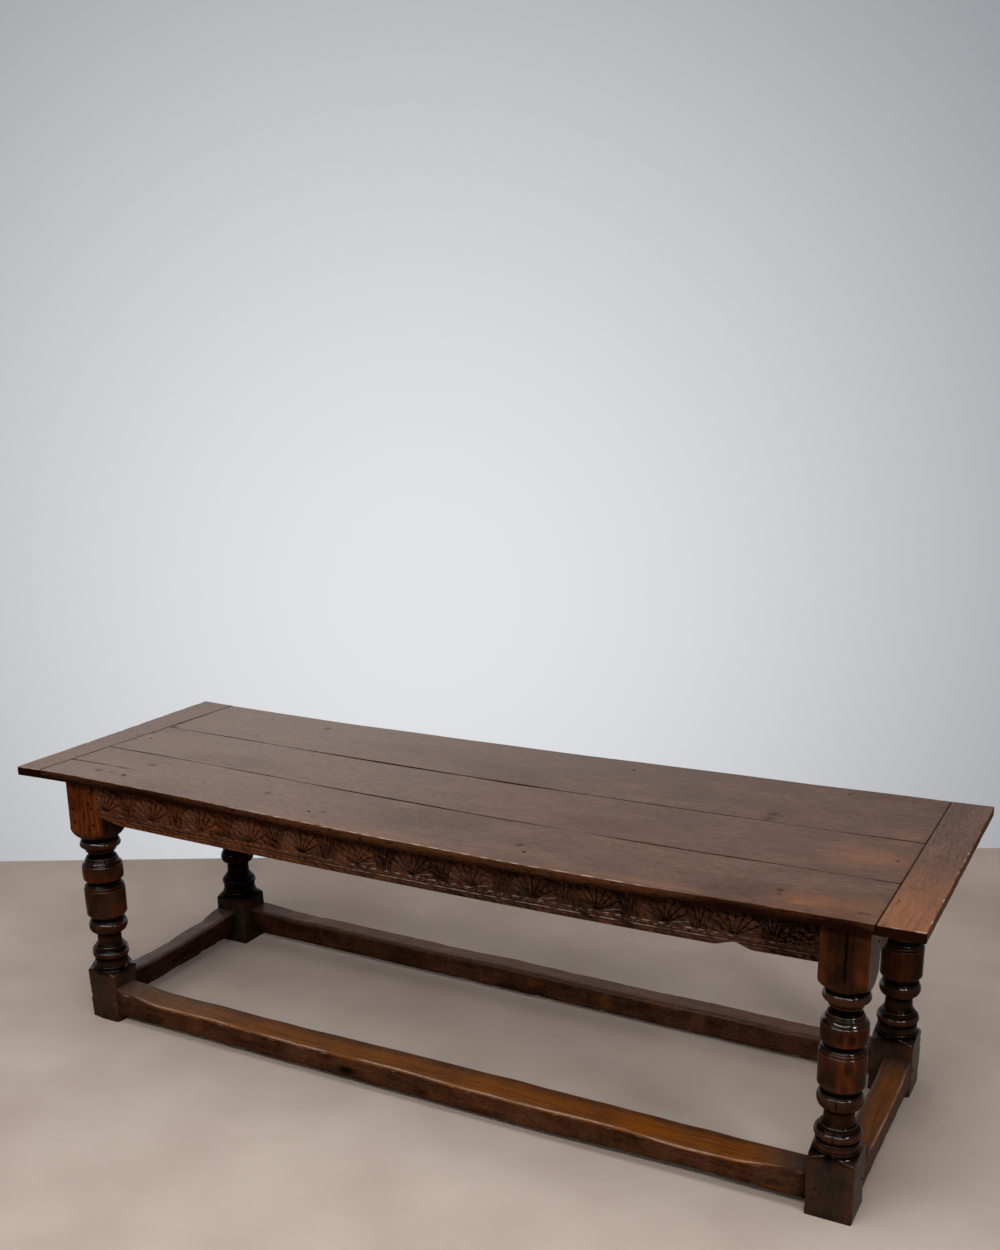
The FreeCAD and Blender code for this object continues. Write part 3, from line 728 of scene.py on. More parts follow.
def board_arris(run, distance, seed, opened, chipped):
    """Radius of a board's upper arris at each station: larger on the outline of the top than at a seam,
    rough, knocked, and widened where the seam has opened; chipped adds the one large chip."""
    outer = np.abs(distance).min() > half_width - 2 * MM
    rough = 0.3 * MM * wander(seed, 0.12, run) + 0.15 * MM * wander(seed, 0.025, run)
    count = OUTER_KNOCKS if outer else SEAM_KNOCKS
    knocks = chips(seed, count, run, (left_end, right_end), 10 * MM, 1.2 * MM)
    chip = 5 * MM * bell(run - EDGE_CHIP, 12 * MM) * (outer and chipped)
    return (OUTER_RADIUS if outer else SEAM_RADIUS) + rough + knocks + chip + opened


def top_board(name, front, back, seed, step, open_side=None):
    """A plank between the lines front(x) and back(x) and between the two cleat joints, sagged and gently
    rippled. step is the spacing of its rings; open_side, front or back, is the side of the open seam."""
    run = stations(left_joint(0), right_joint(0), step, TOP_LIP)
    inset = lip_inset(run, run[0], run[-1], TOP_LIP)
    opened = opening(run)
    front_radius = board_arris(run, front(run), seed + 1, opened * (open_side == "front"), True)
    back_radius = board_arris(run, back(run), seed + 2, opened * (open_side == "back"), False)
    under = 2.0 * MM + 0.8 * MM * wander(seed + 3, 0.2, run)
    thickest = 0.47 * (table_height - board_bottom)
    radii = [np.clip(r, SHARPEST, thickest) for r in (under, under, back_radius, front_radius)]
    y, up = section(front(run) + inset, back(run) - inset, board_bottom + inset, table_height - inset,
                    radii, BOARD_POINTS, crowd=CROWDED)
    share = (run - run[0]) / (run[-1] - run[0])
    x = left_joint(y) + share[:, None] * (right_joint(y) - left_joint(y))
    upper = ease(up, board_bottom, table_height)
    drop = sag(x, y) + upper * 0.7 * MM * (1 + wander(seed + 4, 0.45, x, y))
    drop = drop + upper * 0.25 * MM * (1 + wander(seed + 5, 0.09, x * 0.35, y))
    crack = end_crack(x, y)
    drop = drop + 1.2 * MM * crack * ease(up, table_height - 2 * MM, table_height)
    to_seam = np.minimum(y - front(run)[:, None], back(run)[:, None] - y)
    marks = board_marks(x, y, up, to_seam, opened[:, None], crack, seed)
    place(name, np.stack([x, y, up - drop], axis=-1), 0, seed, *marks)


top_board("front_top_board", lambda x: -outer_line(x, 21), lambda x: seam(FRONT_SEAM, x, 23) - half_gap,
          31, FINE_STEP)
top_board("middle_top_board", lambda x: seam(FRONT_SEAM, x, 23) + half_gap,
          lambda x: seam(BACK_SEAM, x, 24) - back_gap(x), 32, STEP, open_side="back")
top_board("back_top_board", lambda x: seam(BACK_SEAM, x, 24) + back_gap(x), lambda x: outer_line(x, 22),
          33, STEP, open_side="front")

# %% [markdown]
# A cleat lies across the ends of the boards, with its grain across theirs. Its outer end takes the knocks,
# and its front end, where hands grip the table, is black. The right one is rubbed warm towards the front.

# %% Cleats
CLEAT_LIP = 3 * MM
CLEAT_STEP = 5 * MM
CLEAT_POINTS = (14, 3, 30, 3)
CLEAT_SHEEN = 0.8 * BOARD_SHEEN


def cleat_marks(x, y, up, inner, outer, seed, warm):
    """Wear, dirt and painted light of a cleat: dirt at the joint and, as smudges, towards the front, a dark
    edge, black at the front end, a rubbed arris that also carries a painted highlight, and a painted sheen."""
    on_top = upper_face(up)
    to_end = np.minimum(np.abs(x - outer), half_width - np.abs(y))
    edge = outer_edge(to_end, on_top)
    fore = ease(-y, half_width - 8 * MM, half_width - 2 * MM)
    tip = bell(np.hypot(x - outer, y + half_width), 15 * MM)
    smudge = wander(seed + 5, 0.07, x, y) + 0.8 * ease(-y, half_width - 60 * MM, half_width)
    grime_and_painted_shade = JOINT_DIRT * bell(np.abs(x - inner(y)), JOINT_DIRT_WIDTH)
    grime_and_painted_shade = grime_and_painted_shade + 0.14 * ease(wander(seed + 3, 0.25, x, y * 0.5), 0.3, 1.2)
    grime_and_painted_shade = grime_and_painted_shade + edge * (0.66 + 0.32 * fore)
    grime_and_painted_shade = grime_and_painted_shade + 0.22 * warm * ease(smudge, 0.4, 1.4) * on_top
    # A pale rubbed arris that also stands as a painted highlight, stronger towards the front; a painted sheen
    # on the upper face.
    arris = bell(to_end - 1 * MM, 2 * MM) * on_top
    bare_and_painted_light = arris * ease(wander(seed + 4, 0.04, x, y) + 0.7 * fore, 0.5, 0.9)
    bare_and_painted_light = bare_and_painted_light + painted_sheen(CLEAT_SHEEN, x, on_top, grime_and_painted_shade)
    wear = 0.6 * arris + warm * ease(-y, -0.1, half_width) * on_top + 0.5 * edge + warm * tip * on_top
    return wear, grime_and_painted_shade, bare_and_painted_light


def cleat(name, inner, outer, seed, warm):
    """A cross board between the joint line inner(y) and the straight end of the top at x = outer; warm is
    how rubbed its front half is."""
    run = stations(-half_width, half_width, CLEAT_STEP, CLEAT_LIP)
    inset = lip_inset(run, -half_width, half_width, CLEAT_LIP)
    toward = np.sign(outer)
    joint, end = inner(run) + toward * (half_gap + inset), outer - toward * inset
    worn_end = 2.6 * MM + 0.8 * MM * wander(seed, 0.15, run)
    worn_end = worn_end + chips(seed, 16, run, (-half_width, half_width), 14 * MM, 4 * MM)
    tight = 1.2 * MM + 0.4 * MM * wander(seed + 1, 0.2, run)
    left, right = (joint, end) if outer > 0 else (end, joint)
    upper = (worn_end, tight) if outer > 0 else (tight, worn_end)
    radii = [np.clip(r, SHARPEST, 11 * MM) for r in (worn_end * 0.9, worn_end * 0.9, *upper)]
    x, up = section(left, right, board_bottom + inset, table_height - inset,
                    radii, CLEAT_POINTS, crowd=CROWDED)
    y = np.broadcast_to(run[:, None], x.shape)
    ripple = 0.5 * MM * (1 + wander(seed + 2, 0.3, x, y))
    drop = sag(x, y) + ease(up, board_bottom, table_height) * ripple
    marks = cleat_marks(x, y, up, inner, outer, seed, warm)
    place(name, np.stack([x, y, up - drop], axis=-1), 1, seed, *marks)


cleat("left_cleat", left_joint, left_end, 41, warm=0.1)
cleat("right_cleat", right_joint, right_end, 42, warm=0.7)

# %% [markdown]
# ## Carved front rail
# A row of half-round arches was drawn with a compass, three lines were cut along each, and the arch was
# filled with a fan of petals. Under them runs a band of short gouge nicks and a bead along the lower edge.
# All of it repeats with one pitch, so the depth of the cut is a formula of the place on the face, and the
# front of the rail is a fine grid pushed inwards by that depth. Small wandering shifts keep it from looking
# stamped.

# %% Arches and fans
ARCH_PITCH = 164                        # this carving is in millimetres
FAN_CENTRE = 168                        # x of one arch's middle line
SPRING_HEIGHT = 656
ARCH_LINES = (63.5, 70, 77)             # radii of the lines cut along an arch
LEAF_LEAN = 0.26
FAN_HEIGHT = 649
FAN_ANGLES = np.radians((90, 68, 49, 30))
LOW_ANGLE = np.radians(12)
FAN_REACH = 64
V_WIDTH = 1.9                           # half width of a V-tool's cut


def arches(u, h):
    """At u beside an arch's middle line and h above its springing: depth, 0 to 1, of the arch lines and
    of the leaves between two arches, and the distance from the arch's centre."""
    side = np.abs(u)
    reach = np.where(h > 0, np.hypot(u, h), side)
    gap = ARCH_PITCH / 2 - side
    cut = np.maximum(bell(gap, 1.8), bell(gap - LEAF_LEAN * h, 1.8) * ease(h, 4, 12))
    for line in ARCH_LINES:
        cut = np.maximum(cut, bell(reach - line, 2.0))
    return cut, reach


def fan(x, u, f, reach):
    """Depth, 0 to 1, of a fan's rays, at f above its centre, and a painted highlight along the sides of the
    rays:
    faintly on the far left of the rail, and beside the lowest ray at the right of each fan."""
    side, spread = np.abs(u), np.hypot(u, f)
    within = ease(spread, 1, 5) * (reach < ARCH_LINES[0])
    # Painted highlight on the sides of the rays that face the light, on the far left of the rail.
    rubbed = 0.24 * within * ease(spread, 18, 34) * (u < -8) * ease(-x, 150, 400)
    cut, scraped_and_highlit = 0.0, 0.0
    for angle in FAN_ANGLES:
        ray = side * np.sin(angle) - f * np.cos(angle)
        cut = np.maximum(cut, bell(ray, V_WIDTH) * within)
        scraped_and_highlit = scraped_and_highlit + bell(ray - 2.0, 1.0) * rubbed
    low_ray = side * np.sin(LOW_ANGLE) - f * np.cos(LOW_ANGLE)
    low_within = ease(spread, 16, 24) * ease(FAN_REACH - spread, 0, 6) * (u > 0)
    cut = np.maximum(cut, 0.6 * bell(low_ray, 1.6) * low_within)
    return cut, scraped_and_highlit, 0.55 * bell(low_ray + 1.4, 1.1) * low_within


cut, reach = arches(np.array((0.0, ARCH_PITCH / 2)), np.array((70.0, 0.0)))
print("depth at the crown of an arch and between two arches:", np.round(cut, 2))

# %% Nicks, bead and depth of the carving
NICK_HEIGHT = 649
SILL_HEIGHT = 643.5
NICKS_PER_ARCH = 5
QUIRKS = (639.5, 631.5)     # the dark lines above and below the bead
CARVED_END = 915            # x where the carving stops and rough wood begins
CUT_DEPTH = 3.0
NICK_DEPTH, BEAD_DEPTH, QUIRK_DEPTH = 1.3, 2.2, 1.8


def nicks(x, z):
    """Depth of the two rows of gouge nicks, flat-topped bells at one pitch, and the upper row's bells."""
    pitch = ARCH_PITCH / NICKS_PER_ARCH
    cut, strokes = 0.0, []
    for height, seed in ((NICK_HEIGHT, 55), (SILL_HEIGHT, 62)):
        middle = (x + 5 * wander(seed, 70, x) + seed) % pitch - pitch / 2
        strokes.append(np.exp(-(middle / (8 + 2 * wander(seed, 90, x))) ** 4))
        cut = cut + NICK_DEPTH * strokes[-1] * ease(height + 3.2 - z, 0, 2.5) * ease(z, height - 2.4, height)
    return cut, strokes[0]


def bead(z):
    """Depth of the bead along the lower edge, an ellipse between two quirks, which are cut deeper."""
    share = np.clip((z - np.mean(QUIRKS)) / (QUIRKS[0] - QUIRKS[1]) * 2, -1, 1)
    cut = BEAD_DEPTH * (1 - np.sqrt(1 - 0.96 * share ** 2)) * (np.abs(share) < 1)
    return cut + sum(QUIRK_DEPTH * bell(z - height, 1.2) for height in QUIRKS)


def carving(x, z):
    """At x, z: depth below the face, from arches, leaves, fans, nicks and bead, and painted highlights on
    the edges that face the light: fan rays, the nicks' sills and the bead's upper side."""
    u = (x + 1.6 * wander(51, 140, x, z) - FAN_CENTRE + ARCH_PITCH / 2) % ARCH_PITCH - ARCH_PITCH / 2
    h = z - SPRING_HEIGHT + 1.2 * wander(52, 160, x, z)
    arch_cut, reach = arches(u, h)
    fan_cut, scraped_and_highlit, low_ray = fan(x, u, h + SPRING_HEIGHT - FAN_HEIGHT, reach)
    hollow = 0.7 * ease(ARCH_LINES[0] - 2 - reach, 0, 8) * ease(wander(59, 26, x, z), -0.4, 0.8)
    rough = 1.6 + 1.3 * wander(53, 13, x, z) + 0.8 * wander(54, 6, x, z)
    over = ease(z, NICK_HEIGHT - 2, NICK_HEIGHT + 3)
    carved = 1 - ease(x, CARVED_END, CARVED_END + 10)
    cut = (CUT_DEPTH * np.maximum(arch_cut, fan_cut) + hollow) * over * carved + rough * (1 - carved) * over
    nick_cut, stroke = nicks(x, z)
    cut = cut + nick_cut + bead(z)
    # Painted highlights on edges that face the light, strongest where the lamps light the rail: the lowest
    # fan ray, the lips of the nicks and sills, and the bead's upper side.
    lit = ease(x, -350, 0) * ease(-x, -830, -740)
    nick_highlight = stroke * ease(wander(65, 48, x), -0.6, 0.3) * bell(z - NICK_HEIGHT + 0.5, 1.2)
    sill_highlight = 0.5 * ease(wander(66, 12, x), 0.0, 0.6) * bell(z - SILL_HEIGHT + 0.5, 1.0)
    bead_highlight = 0.75 * ease(wander(60, 60, x), -0.8, 0.2) * bell(z - QUIRKS[0] + 4, 1.1)
    bare_and_painted_light = scraped_and_highlit * carved + low_ray * lit + bead_highlight * (0.15 + 0.85 * lit)
    bare_and_painted_light = bare_and_painted_light + (nick_highlight * (0.3 + 0.6 * lit) + sill_highlight * (0.2 + 0.8 * lit)) * carved
    return cut * (0.9 + 0.2 * wander(56, 300, x)), bare_and_painted_light


depth, bare_and_painted_light = carving(np.array((FAN_CENTRE, FAN_CENTRE + 12.0)), np.array((690.0, 690.0)))
print("depth at a fan's middle line and beside it, mm:", np.round(depth, 2))

# %% Front rail
NOTCH_X = 823.5 * MM
NOTCH_RISE = 12 * MM
NOTCH_RUNS = (50 * MM, 46 * MM)
END_RISE, END_RUN = 11 * MM, 90 * MM
CLOSER_BELOW = 1.45         # power that crowds the rows of points towards the fine nick band
RAIL_SAG = 11 * MM
RAIL_RINGS = 800
RAIL_POINTS = (4, 4, 4, 84)
INTO_LEG = 3 * MM           # how far rails and stretchers reach into the legs
leg_inner_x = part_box("front_right_leg")[0][0]
leg_inner_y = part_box("back_right_leg")[0][1]


def rail_underside(x, bottom):
    """Lower edge of the front rail: level, climbing at the left leg, with a pointed notch before the
    right leg."""
    left = ease(x, NOTCH_X - NOTCH_RUNS[0], NOTCH_X) * (x < NOTCH_X)
    right = ease(-x, -NOTCH_X - NOTCH_RUNS[1], -NOTCH_X) * (x >= NOTCH_X)
    climb = ease(-x, leg_inner_x - END_RUN, leg_inner_x)
    return bottom + NOTCH_RISE * (left + right) + END_RISE * climb


def front_rail(name, seed):
    """A rounded section along the front, its outer side a fine grid pushed in by the depth of the
    carving; its upper edge follows the top and its lower edge has sagged by itself."""
    low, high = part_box(name)
    run = np.linspace(-leg_inner_x - INTO_LEG, leg_inner_x + INTO_LEG, RAIL_RINGS)
    flat = np.ones_like(run)
    soft = 1.6 * MM + 0.5 * MM * wander(57, 0.2, run) + chips(57, 30, run, (-1.0, 1.0), 12 * MM, 2.5 * MM)
    radii = (soft, 2.0 * MM * flat, 1.0 * MM * flat, 1.0 * MM * flat)
    bottom = rail_underside(run, low[2])
    y, up = section(low[1] * flat, high[1] * flat, bottom, high[2] * flat, radii, RAIL_POINTS, turns=4)
    bottom = bottom[:, None]
    up = bottom + (high[2] - bottom) * np.clip((up - bottom) / (high[2] - bottom), 0, 1) ** CLOSER_BELOW
    x = np.broadcast_to(run[:, None], y.shape)
    face = ease(-y, -low[1] - 4 * MM, -low[1] - 1 * MM)
    depth, bare_and_painted_light = (value * face for value in carving(x / MM, up / MM))
    share = (up - low[2]) / (high[2] - low[2])
    drop = between((RAIL_SAG * (1 - (x / leg_inner_x) ** 2), sag(x, y)), share)
    blotch = wander(63, 0.016, x, up) + 0.6 * wander(64, 0.05, x, up)
    # Painted shade along the top of the rail under the overhanging boards; dirt in blotches; darker to the
    # right and on the rough end at the right.
    soot_and_painted_shade = 0.35 * ease(up, 0.69, 0.73) + 0.5 * ease(blotch, -0.1, 1.2)
    soot_and_painted_shade = soot_and_painted_shade + 0.15 * ease(x, 0.2, 0.6) + 0.3 * ease(x, 0.90, 0.93)
    grime_and_painted_shade = 0.8 * ease(depth, 1.0, 2.6) + soot_and_painted_shade * face
    wear = 0.7 * ease(-blotch, 0.1, 1.2) * ease(1.2 - depth, 0, 1.0) + 0.6 * ease(-x, 0.0, 0.7)
    place(name, np.stack([x, y + depth * MM, up - drop], axis=-1), 0, seed, wear * face, grime_and_painted_shade, bare_and_painted_light)


front_rail("front_rail", 58)

# %% [markdown]
# ## Plain rails and the bearer
# Behind the carved face the frame is plain sawn oak: three more rails and a bearer across the middle that
# keeps the boards from dropping. They are simple timbers with soft arrises.

# %% Plain timbers
PLAIN_STEP = 9 * MM
PLAIN_LIP = 1.5 * MM
PLAIN_POINTS = (6, 14, 4, 14)


def plain_timber(name, along, start, stop, seed):
    """A sawn timber from start to stop along axis 0 or 1, with soft, wavy arrises; it sags with the top."""
    low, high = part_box(name)
    side = 1 - along
    run = stations(start, stop, PLAIN_STEP, PLAIN_LIP)
    flat = np.ones_like(run)
    soft = 2.2 * MM + 0.7 * MM * wander(seed, 0.2, run) + chips(seed, 14, run, (start, stop), 18 * MM, 3 * MM)
    across, up = section(low[side] * flat, high[side] * flat, low[2] * flat, high[2] * flat,
                         (soft, soft, 1.0 * MM * flat, 1.0 * MM * flat), PLAIN_POINTS)
    line = np.broadcast_to(run[:, None], across.shape)
    drop = sag(*((line, across) if along == 0 else (across, line)))
    hewn = 0.5 * MM * wander(seed + 1, 0.25, line, up * 3)
    moved = across - np.sign(across - (low[side] + high[side]) / 2) * np.abs(hewn)
    where = (line, moved) if along == 0 else (moved, line)
    # Painted shade along the upper side, under the top, and dirt in patches.
    grime_and_painted_shade = 0.35 * ease(up, 0.66, 0.73) + 0.25 * ease(wander(seed + 2, 0.2, line, up), 0.2, 1.2)
    wear = 0.7 * ease(low[2] + 9 * MM - up, 0, 9 * MM)
    place(name, np.stack([*where, up - drop], axis=-1), along, seed, wear, grime_and_painted_shade)


plain_timber("back_rail", 0, -leg_inner_x - INTO_LEG, leg_inner_x + INTO_LEG, 61)
plain_timber("left_end_rail", 1, -leg_inner_y - INTO_LEG, leg_inner_y + INTO_LEG, 62)
plain_timber("right_end_rail", 1, -leg_inner_y - INTO_LEG, leg_inner_y + INTO_LEG, 63)
plain_timber("cross_bearer", 1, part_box("cross_bearer")[0][1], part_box("cross_bearer")[1][1], 64)

# %% [markdown]
# ## Stretchers
# Feet have rested on the four bars near the floor for as long as the table has stood. The front one is worn
# most: its top slopes down to the front, polished amber, while next to the legs, where no foot reaches, the
# old square section still stands. A timber of constant section is made first, and then its upper half is
# lowered by a wear formula that fades out towards both legs.

# %% Form of a stretcher
WEAR_START = 20 * MM        # distance from a leg where the wear begins
STRETCHER_STEP = 5 * MM
STRETCHER_POINTS = (10, 12, 30, 16)


def stretcher_form(name, along, outer, inner, reach, drop, under, rounded, seed):
    """A bar whose top is lowered by outer mm at its outside and inner mm at its inside, from nothing at
    the legs to all of it reach mm away. drop lowers the whole bar and under its lower side, and they and
    inner are given for the low and the high end; rounded is the radius in mm that the inner arris gained.
    Gives the grids line, along the bar, across, up, inward, 0 outside to 1 inside, and used, how much
    feet reach it, and the points."""
    low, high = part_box(name)
    side = 1 - along
    limit = (leg_inner_x, leg_inner_y)[along]
    run = np.linspace(-limit - INTO_LEG, limit + INTO_LEG, int(2 * limit / STRETCHER_STEP))
    flat = np.ones_like(run)
    span = (-limit, limit)
    used = ease(limit - np.abs(run), WEAR_START, reach * MM)
    crisp = 3.0 * MM + 0.9 * MM * wander(seed, 0.16, run) + chips(seed, 40, run, span, 15 * MM, 4 * MM)
    round_back = 3.5 * MM + rounded * MM * used + 1.0 * MM * wander(seed + 1, 0.3, run)
    foot = 3.0 * MM + chips(seed + 2, 30, run, span, 20 * MM, 5 * MM)
    low_outside = abs(low[side]) > abs(high[side])
    upper = (round_back, crisp) if low_outside else (crisp, round_back)
    across, up = section(low[side] * flat, high[side] * flat, low[2] * flat, high[2] * flat,
                         (foot, foot, *upper), STRETCHER_POINTS, turns=7)
    line, used = np.broadcast_to(run[:, None], across.shape), used[:, None]
    inward = (across - low[side]) / (high[side] - low[side])
    inward = inward if low_outside else 1 - inward
    top_share = ease(up, (low[2] + high[2]) / 2, high[2])
    inner_here = between(inner, ease(line / limit, -0.65, 0.3))
    dish = between((outer, inner_here), inward ** 0.8) * MM * used * (1 + 0.18 * wander(seed + 3, 0.4, line))
    dish = dish + 0.8 * MM * used * wander(seed + 4, 0.12, line, across)
    lowered = between(drop, (line + limit) / (2 * limit))
    lowered = (lowered + between(under, ease(line / limit, 0.3, 0.75)) * (1 - top_share)) * MM
    hewn = 0.9 * MM * np.abs(wander(seed + 5, 0.14, line, up * 2.5)) * ease(high[2] - up, 4 * MM, 14 * MM)
    moved = across - np.sign(across - (low[side] + high[side]) / 2) * hewn
    where = (line, moved) if along == 0 else (moved, line)
    points = np.stack([*where, up - dish * top_share - lowered], axis=-1)
    return line, across, up, inward, used, points


print("feet wear a stretcher from", WEAR_START, "m beside the legs")

# %% Stretchers
STRETCHERS = {
    "front_stretcher": dict(along=0, outer=20, inner=(8, 0), reach=170, drop=(0, 0), under=(8, -3),
                            rounded=3, amber=1.0, dust=(0.11, -0.03), gloom=(0.1, 0.1), seed=71),
    "back_stretcher": dict(along=0, outer=8, inner=(6, 6), reach=170, drop=(1, 11), under=(0, 0),
                           rounded=10, amber=0.7, dust=(0.06, 0.06), gloom=(0.35, 0.0), seed=72),
    "left_end_stretcher": dict(along=1, outer=17, inner=(7, 7), reach=110, drop=(0, 0), under=(0, 0),
                               rounded=8, amber=0.3, dust=(0.12, 0.12), gloom=(0.45, 0.45), seed=73),
    "right_end_stretcher": dict(along=1, outer=13, inner=(7, 7), reach=110, drop=(0, 0), under=(0, 0),
                                rounded=8, amber=1.0, dust=(0.04, 0.04), gloom=(0.0, 0.0), seed=74),
}
KNOTS = {       # place along the bar, height, half length and half height, in mm
    "front_stretcher": ((-220, 54, 26, 12), (11, 50, 24, 10)),
}
LEG_SHADE = 14 * MM         # how far painted shade reaches out from a leg and up from the lower arrises
ARRIS_HIGHLIGHT_WIDTH = 1.3 * MM       # half width of the painted highlight along the outer arris


def stretcher(name, seed, along, amber, dust, gloom, **form):
    """A worn bar. amber is how polished its top is; dust on the top, and gloom, darkness painted on the
    sides as shade, are given for the low and the high end. KNOTS darken the outer side."""
    line, across, up, inward, used, points = stretcher_form(name, along=along, seed=seed, **form)
    low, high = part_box(name)
    limit = (leg_inner_x, leg_inner_y)[along]
    share = (line + limit) / (2 * limit)
    on_top = ease(up, high[2] - 12 * MM, high[2] - 3 * MM)
    arris = np.exp(-((1 - on_top) ** 2 + (inward / 0.10) ** 2)) * used
    polish = (1.1 - 0.9 * ease(inward, 0.5, 0.95)) * (0.85 + 0.25 * wander(seed + 6, 0.2, line, across))
    wear = amber * on_top * used * polish + 0.3 * arris
    wear = wear + 0.25 * ease(wander(seed + 7, 0.11, line, up * 3), 0.5, 1.3)
    # Soot in random patches, and a darkening of the sides given for each end, which is painted shade.
    soot_and_painted_shade = 0.3 * ease(wander(seed + 8, 0.09, line * 0.5, up * 2), 0.2, 1.2) + between(gloom, share)
    grime_and_painted_shade = soot_and_painted_shade * (1 - on_top)
    # Painted shade: darker next to the legs and along the lower arrises.
    grime_and_painted_shade = grime_and_painted_shade + 0.6 * np.exp(-(limit - np.abs(line)) / LEG_SHADE)
    grime_and_painted_shade = grime_and_painted_shade + 0.3 * ease(low[2] + LEG_SHADE - up, 0, LEG_SHADE)
    for knot_at, knot_height, long, tall in KNOTS.get(name, ()):
        knot = bell(line / MM - knot_at, long) * bell(up / MM - knot_height, tall)
        grime_and_painted_shade = grime_and_painted_shade + 0.7 * knot * (inward < 0.3)
    from_arris = inward * (high[1 - along] - low[1 - along]) - 1.4 * MM
    # A painted highlight: a bright line along the worn outer arris.
    arris_highlight = bell(from_arris, ARRIS_HIGHLIGHT_WIDTH) * used * ease(up, high[2] - 4 * MM, high[2] - 1 * MM)
    arris_highlight = arris_highlight * ease(wander(seed + 11, 0.25, line), -0.9, 0.1)
    scratch = bell(up - high[2] + 9 * MM + 4 * MM * wander(seed + 9, 0.2, line), 1.6 * MM)
    scratch = scratch * (inward < 0.2) * ease(wander(seed + 10, 0.05, line), 0.2, 0.8)
    bare_and_painted_light = amber * (0.8 * arris_highlight + 0.4 * scratch) + between(dust, share) * on_top
    place(name, points, along, seed, wear, grime_and_painted_shade, bare_and_painted_light)


for name, facts in STRETCHERS.items():
    stretcher(name, **facts)

# %% [markdown]
# ## Turned legs
# Each leg starts as one square timber. A block was left at the foot and one at the head, where the mortises
# are, and rings, a drum and necks were turned between them. In polar form that is one formula: at each
# height the radius is the smaller of the turned profile and the square section. A square in polar form is
# the p-norm of the direction, and a lower p gives rounder, more worn corners.

# %% Turned profile
leg_low, leg_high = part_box("front_left_leg")
HALF_LEG = (leg_high[0] - leg_low[0]) / 2 / MM      # the legs are worked out in millimetres
LEG_TOP = leg_high[2] / MM
CORNER = HALF_LEG * 2 ** 0.5 + 1
FOOT_BLOCK = 143
HEAD_BLOCK = 596
TURNING = (     # height, radius at its top and bulge of its middle, from the foot block upwards
    # stepped base
    (13, 58, 1.5), (4, 53.5, 0.8), (1, 52.5, 0), (5.5, 52.3, 0.8), (1, 50.5, 0), (2, 51.5, 0.3),
    # torus
    (12, 49.5, -0.8), (1.5, 50, 0.4), (2, 47.5, -0.3), (4, 48, -0.8), (24, 45.5, 6.6), (1, 44, 0),
    # lower neck
    (2, 44.8, 0.3), (1.5, 40.8, -0.4), (5.5, 39.5, 1), (2.5, 36.3, -0.4), (36, 34.5, -1),
    # disc
    (8, 48, 1.5), (28.5, 47.5, 4.3), (1, 46, 0), (2.5, 46.3, 0.4), (1, 44, 0), (8, 42, -1),
    # drum
    (17, 53.2, 4.2), (70, 53.4, 0.2), (3, 51.6, 0.5), (1.5, 49.6, 0), (1, 49.8, 0), (5, 49.8, 1.5),
    # scotia and band
    (1.2, 48.3, 0), (18, 47.5, -3.5), (1.5, 52.6, 0.4), (38, 52.8, 0.5), (7.5, 49.5, 1.2),
    # bead and upper neck
    (10.5, 43.2, -0.8), (2, 43, 0.4), (1.2, 40.3, 0), (1.5, 40, 0), (7.5, 35, 2.2), (11, 34, -0.6),
    # cup
    (3, 38.5, -0.4), (3, 39.5, 0.5), (1.5, 38.8, 0), (4, 42.6, -0.4), (3, 43.8, 0.5), (8, 53, 2),
    # shoulder
    (18.5, 46, 2), (3.5, 45.5, -1), (1.5, 48.6, 0), (2, 49.2, 0.2), (40, CORNER, 8),
)
RING_POINTS = 25
FINE = 0.3                              # spacing at which the profile is first sampled
EASED = 0.8                             # how far wax and hands rounded off a turned edge
BLUR_REACH, HOLLOW_REACH = 12, 60       # samples to either side
TURNED_STEP, BLOCK_STEP = 1.3, 3.2      # spacing of the rings on the turned part and on the blocks


def turned_line():
    """Radius and height from the floor to the top: lines from ring to ring that bulge in their middle."""
    radius, height = CORNER, float(FOOT_BLOCK)
    parts = [np.array(((radius, 0.0), (radius, height)))]
    for rise, top_radius, bulge in TURNING:
        t = np.linspace(0, 1, RING_POINTS)[1:]
        curve = radius + (top_radius - radius) * t + bulge * (1 - np.abs(2 * t - 1) ** 2.3)
        parts.append(np.stack([curve, height + rise * t], axis=-1))
        radius, height = top_radius, height + rise
    return np.concatenate([*parts, ((CORNER, LEG_TOP),)])


def smoothed(values, kernel):
    """Running mean of a row of values, weighted by kernel, with the ends held."""
    return np.convolve(np.pad(values, len(kernel) // 2, mode="edge"), kernel / kernel.sum(), mode="valid")


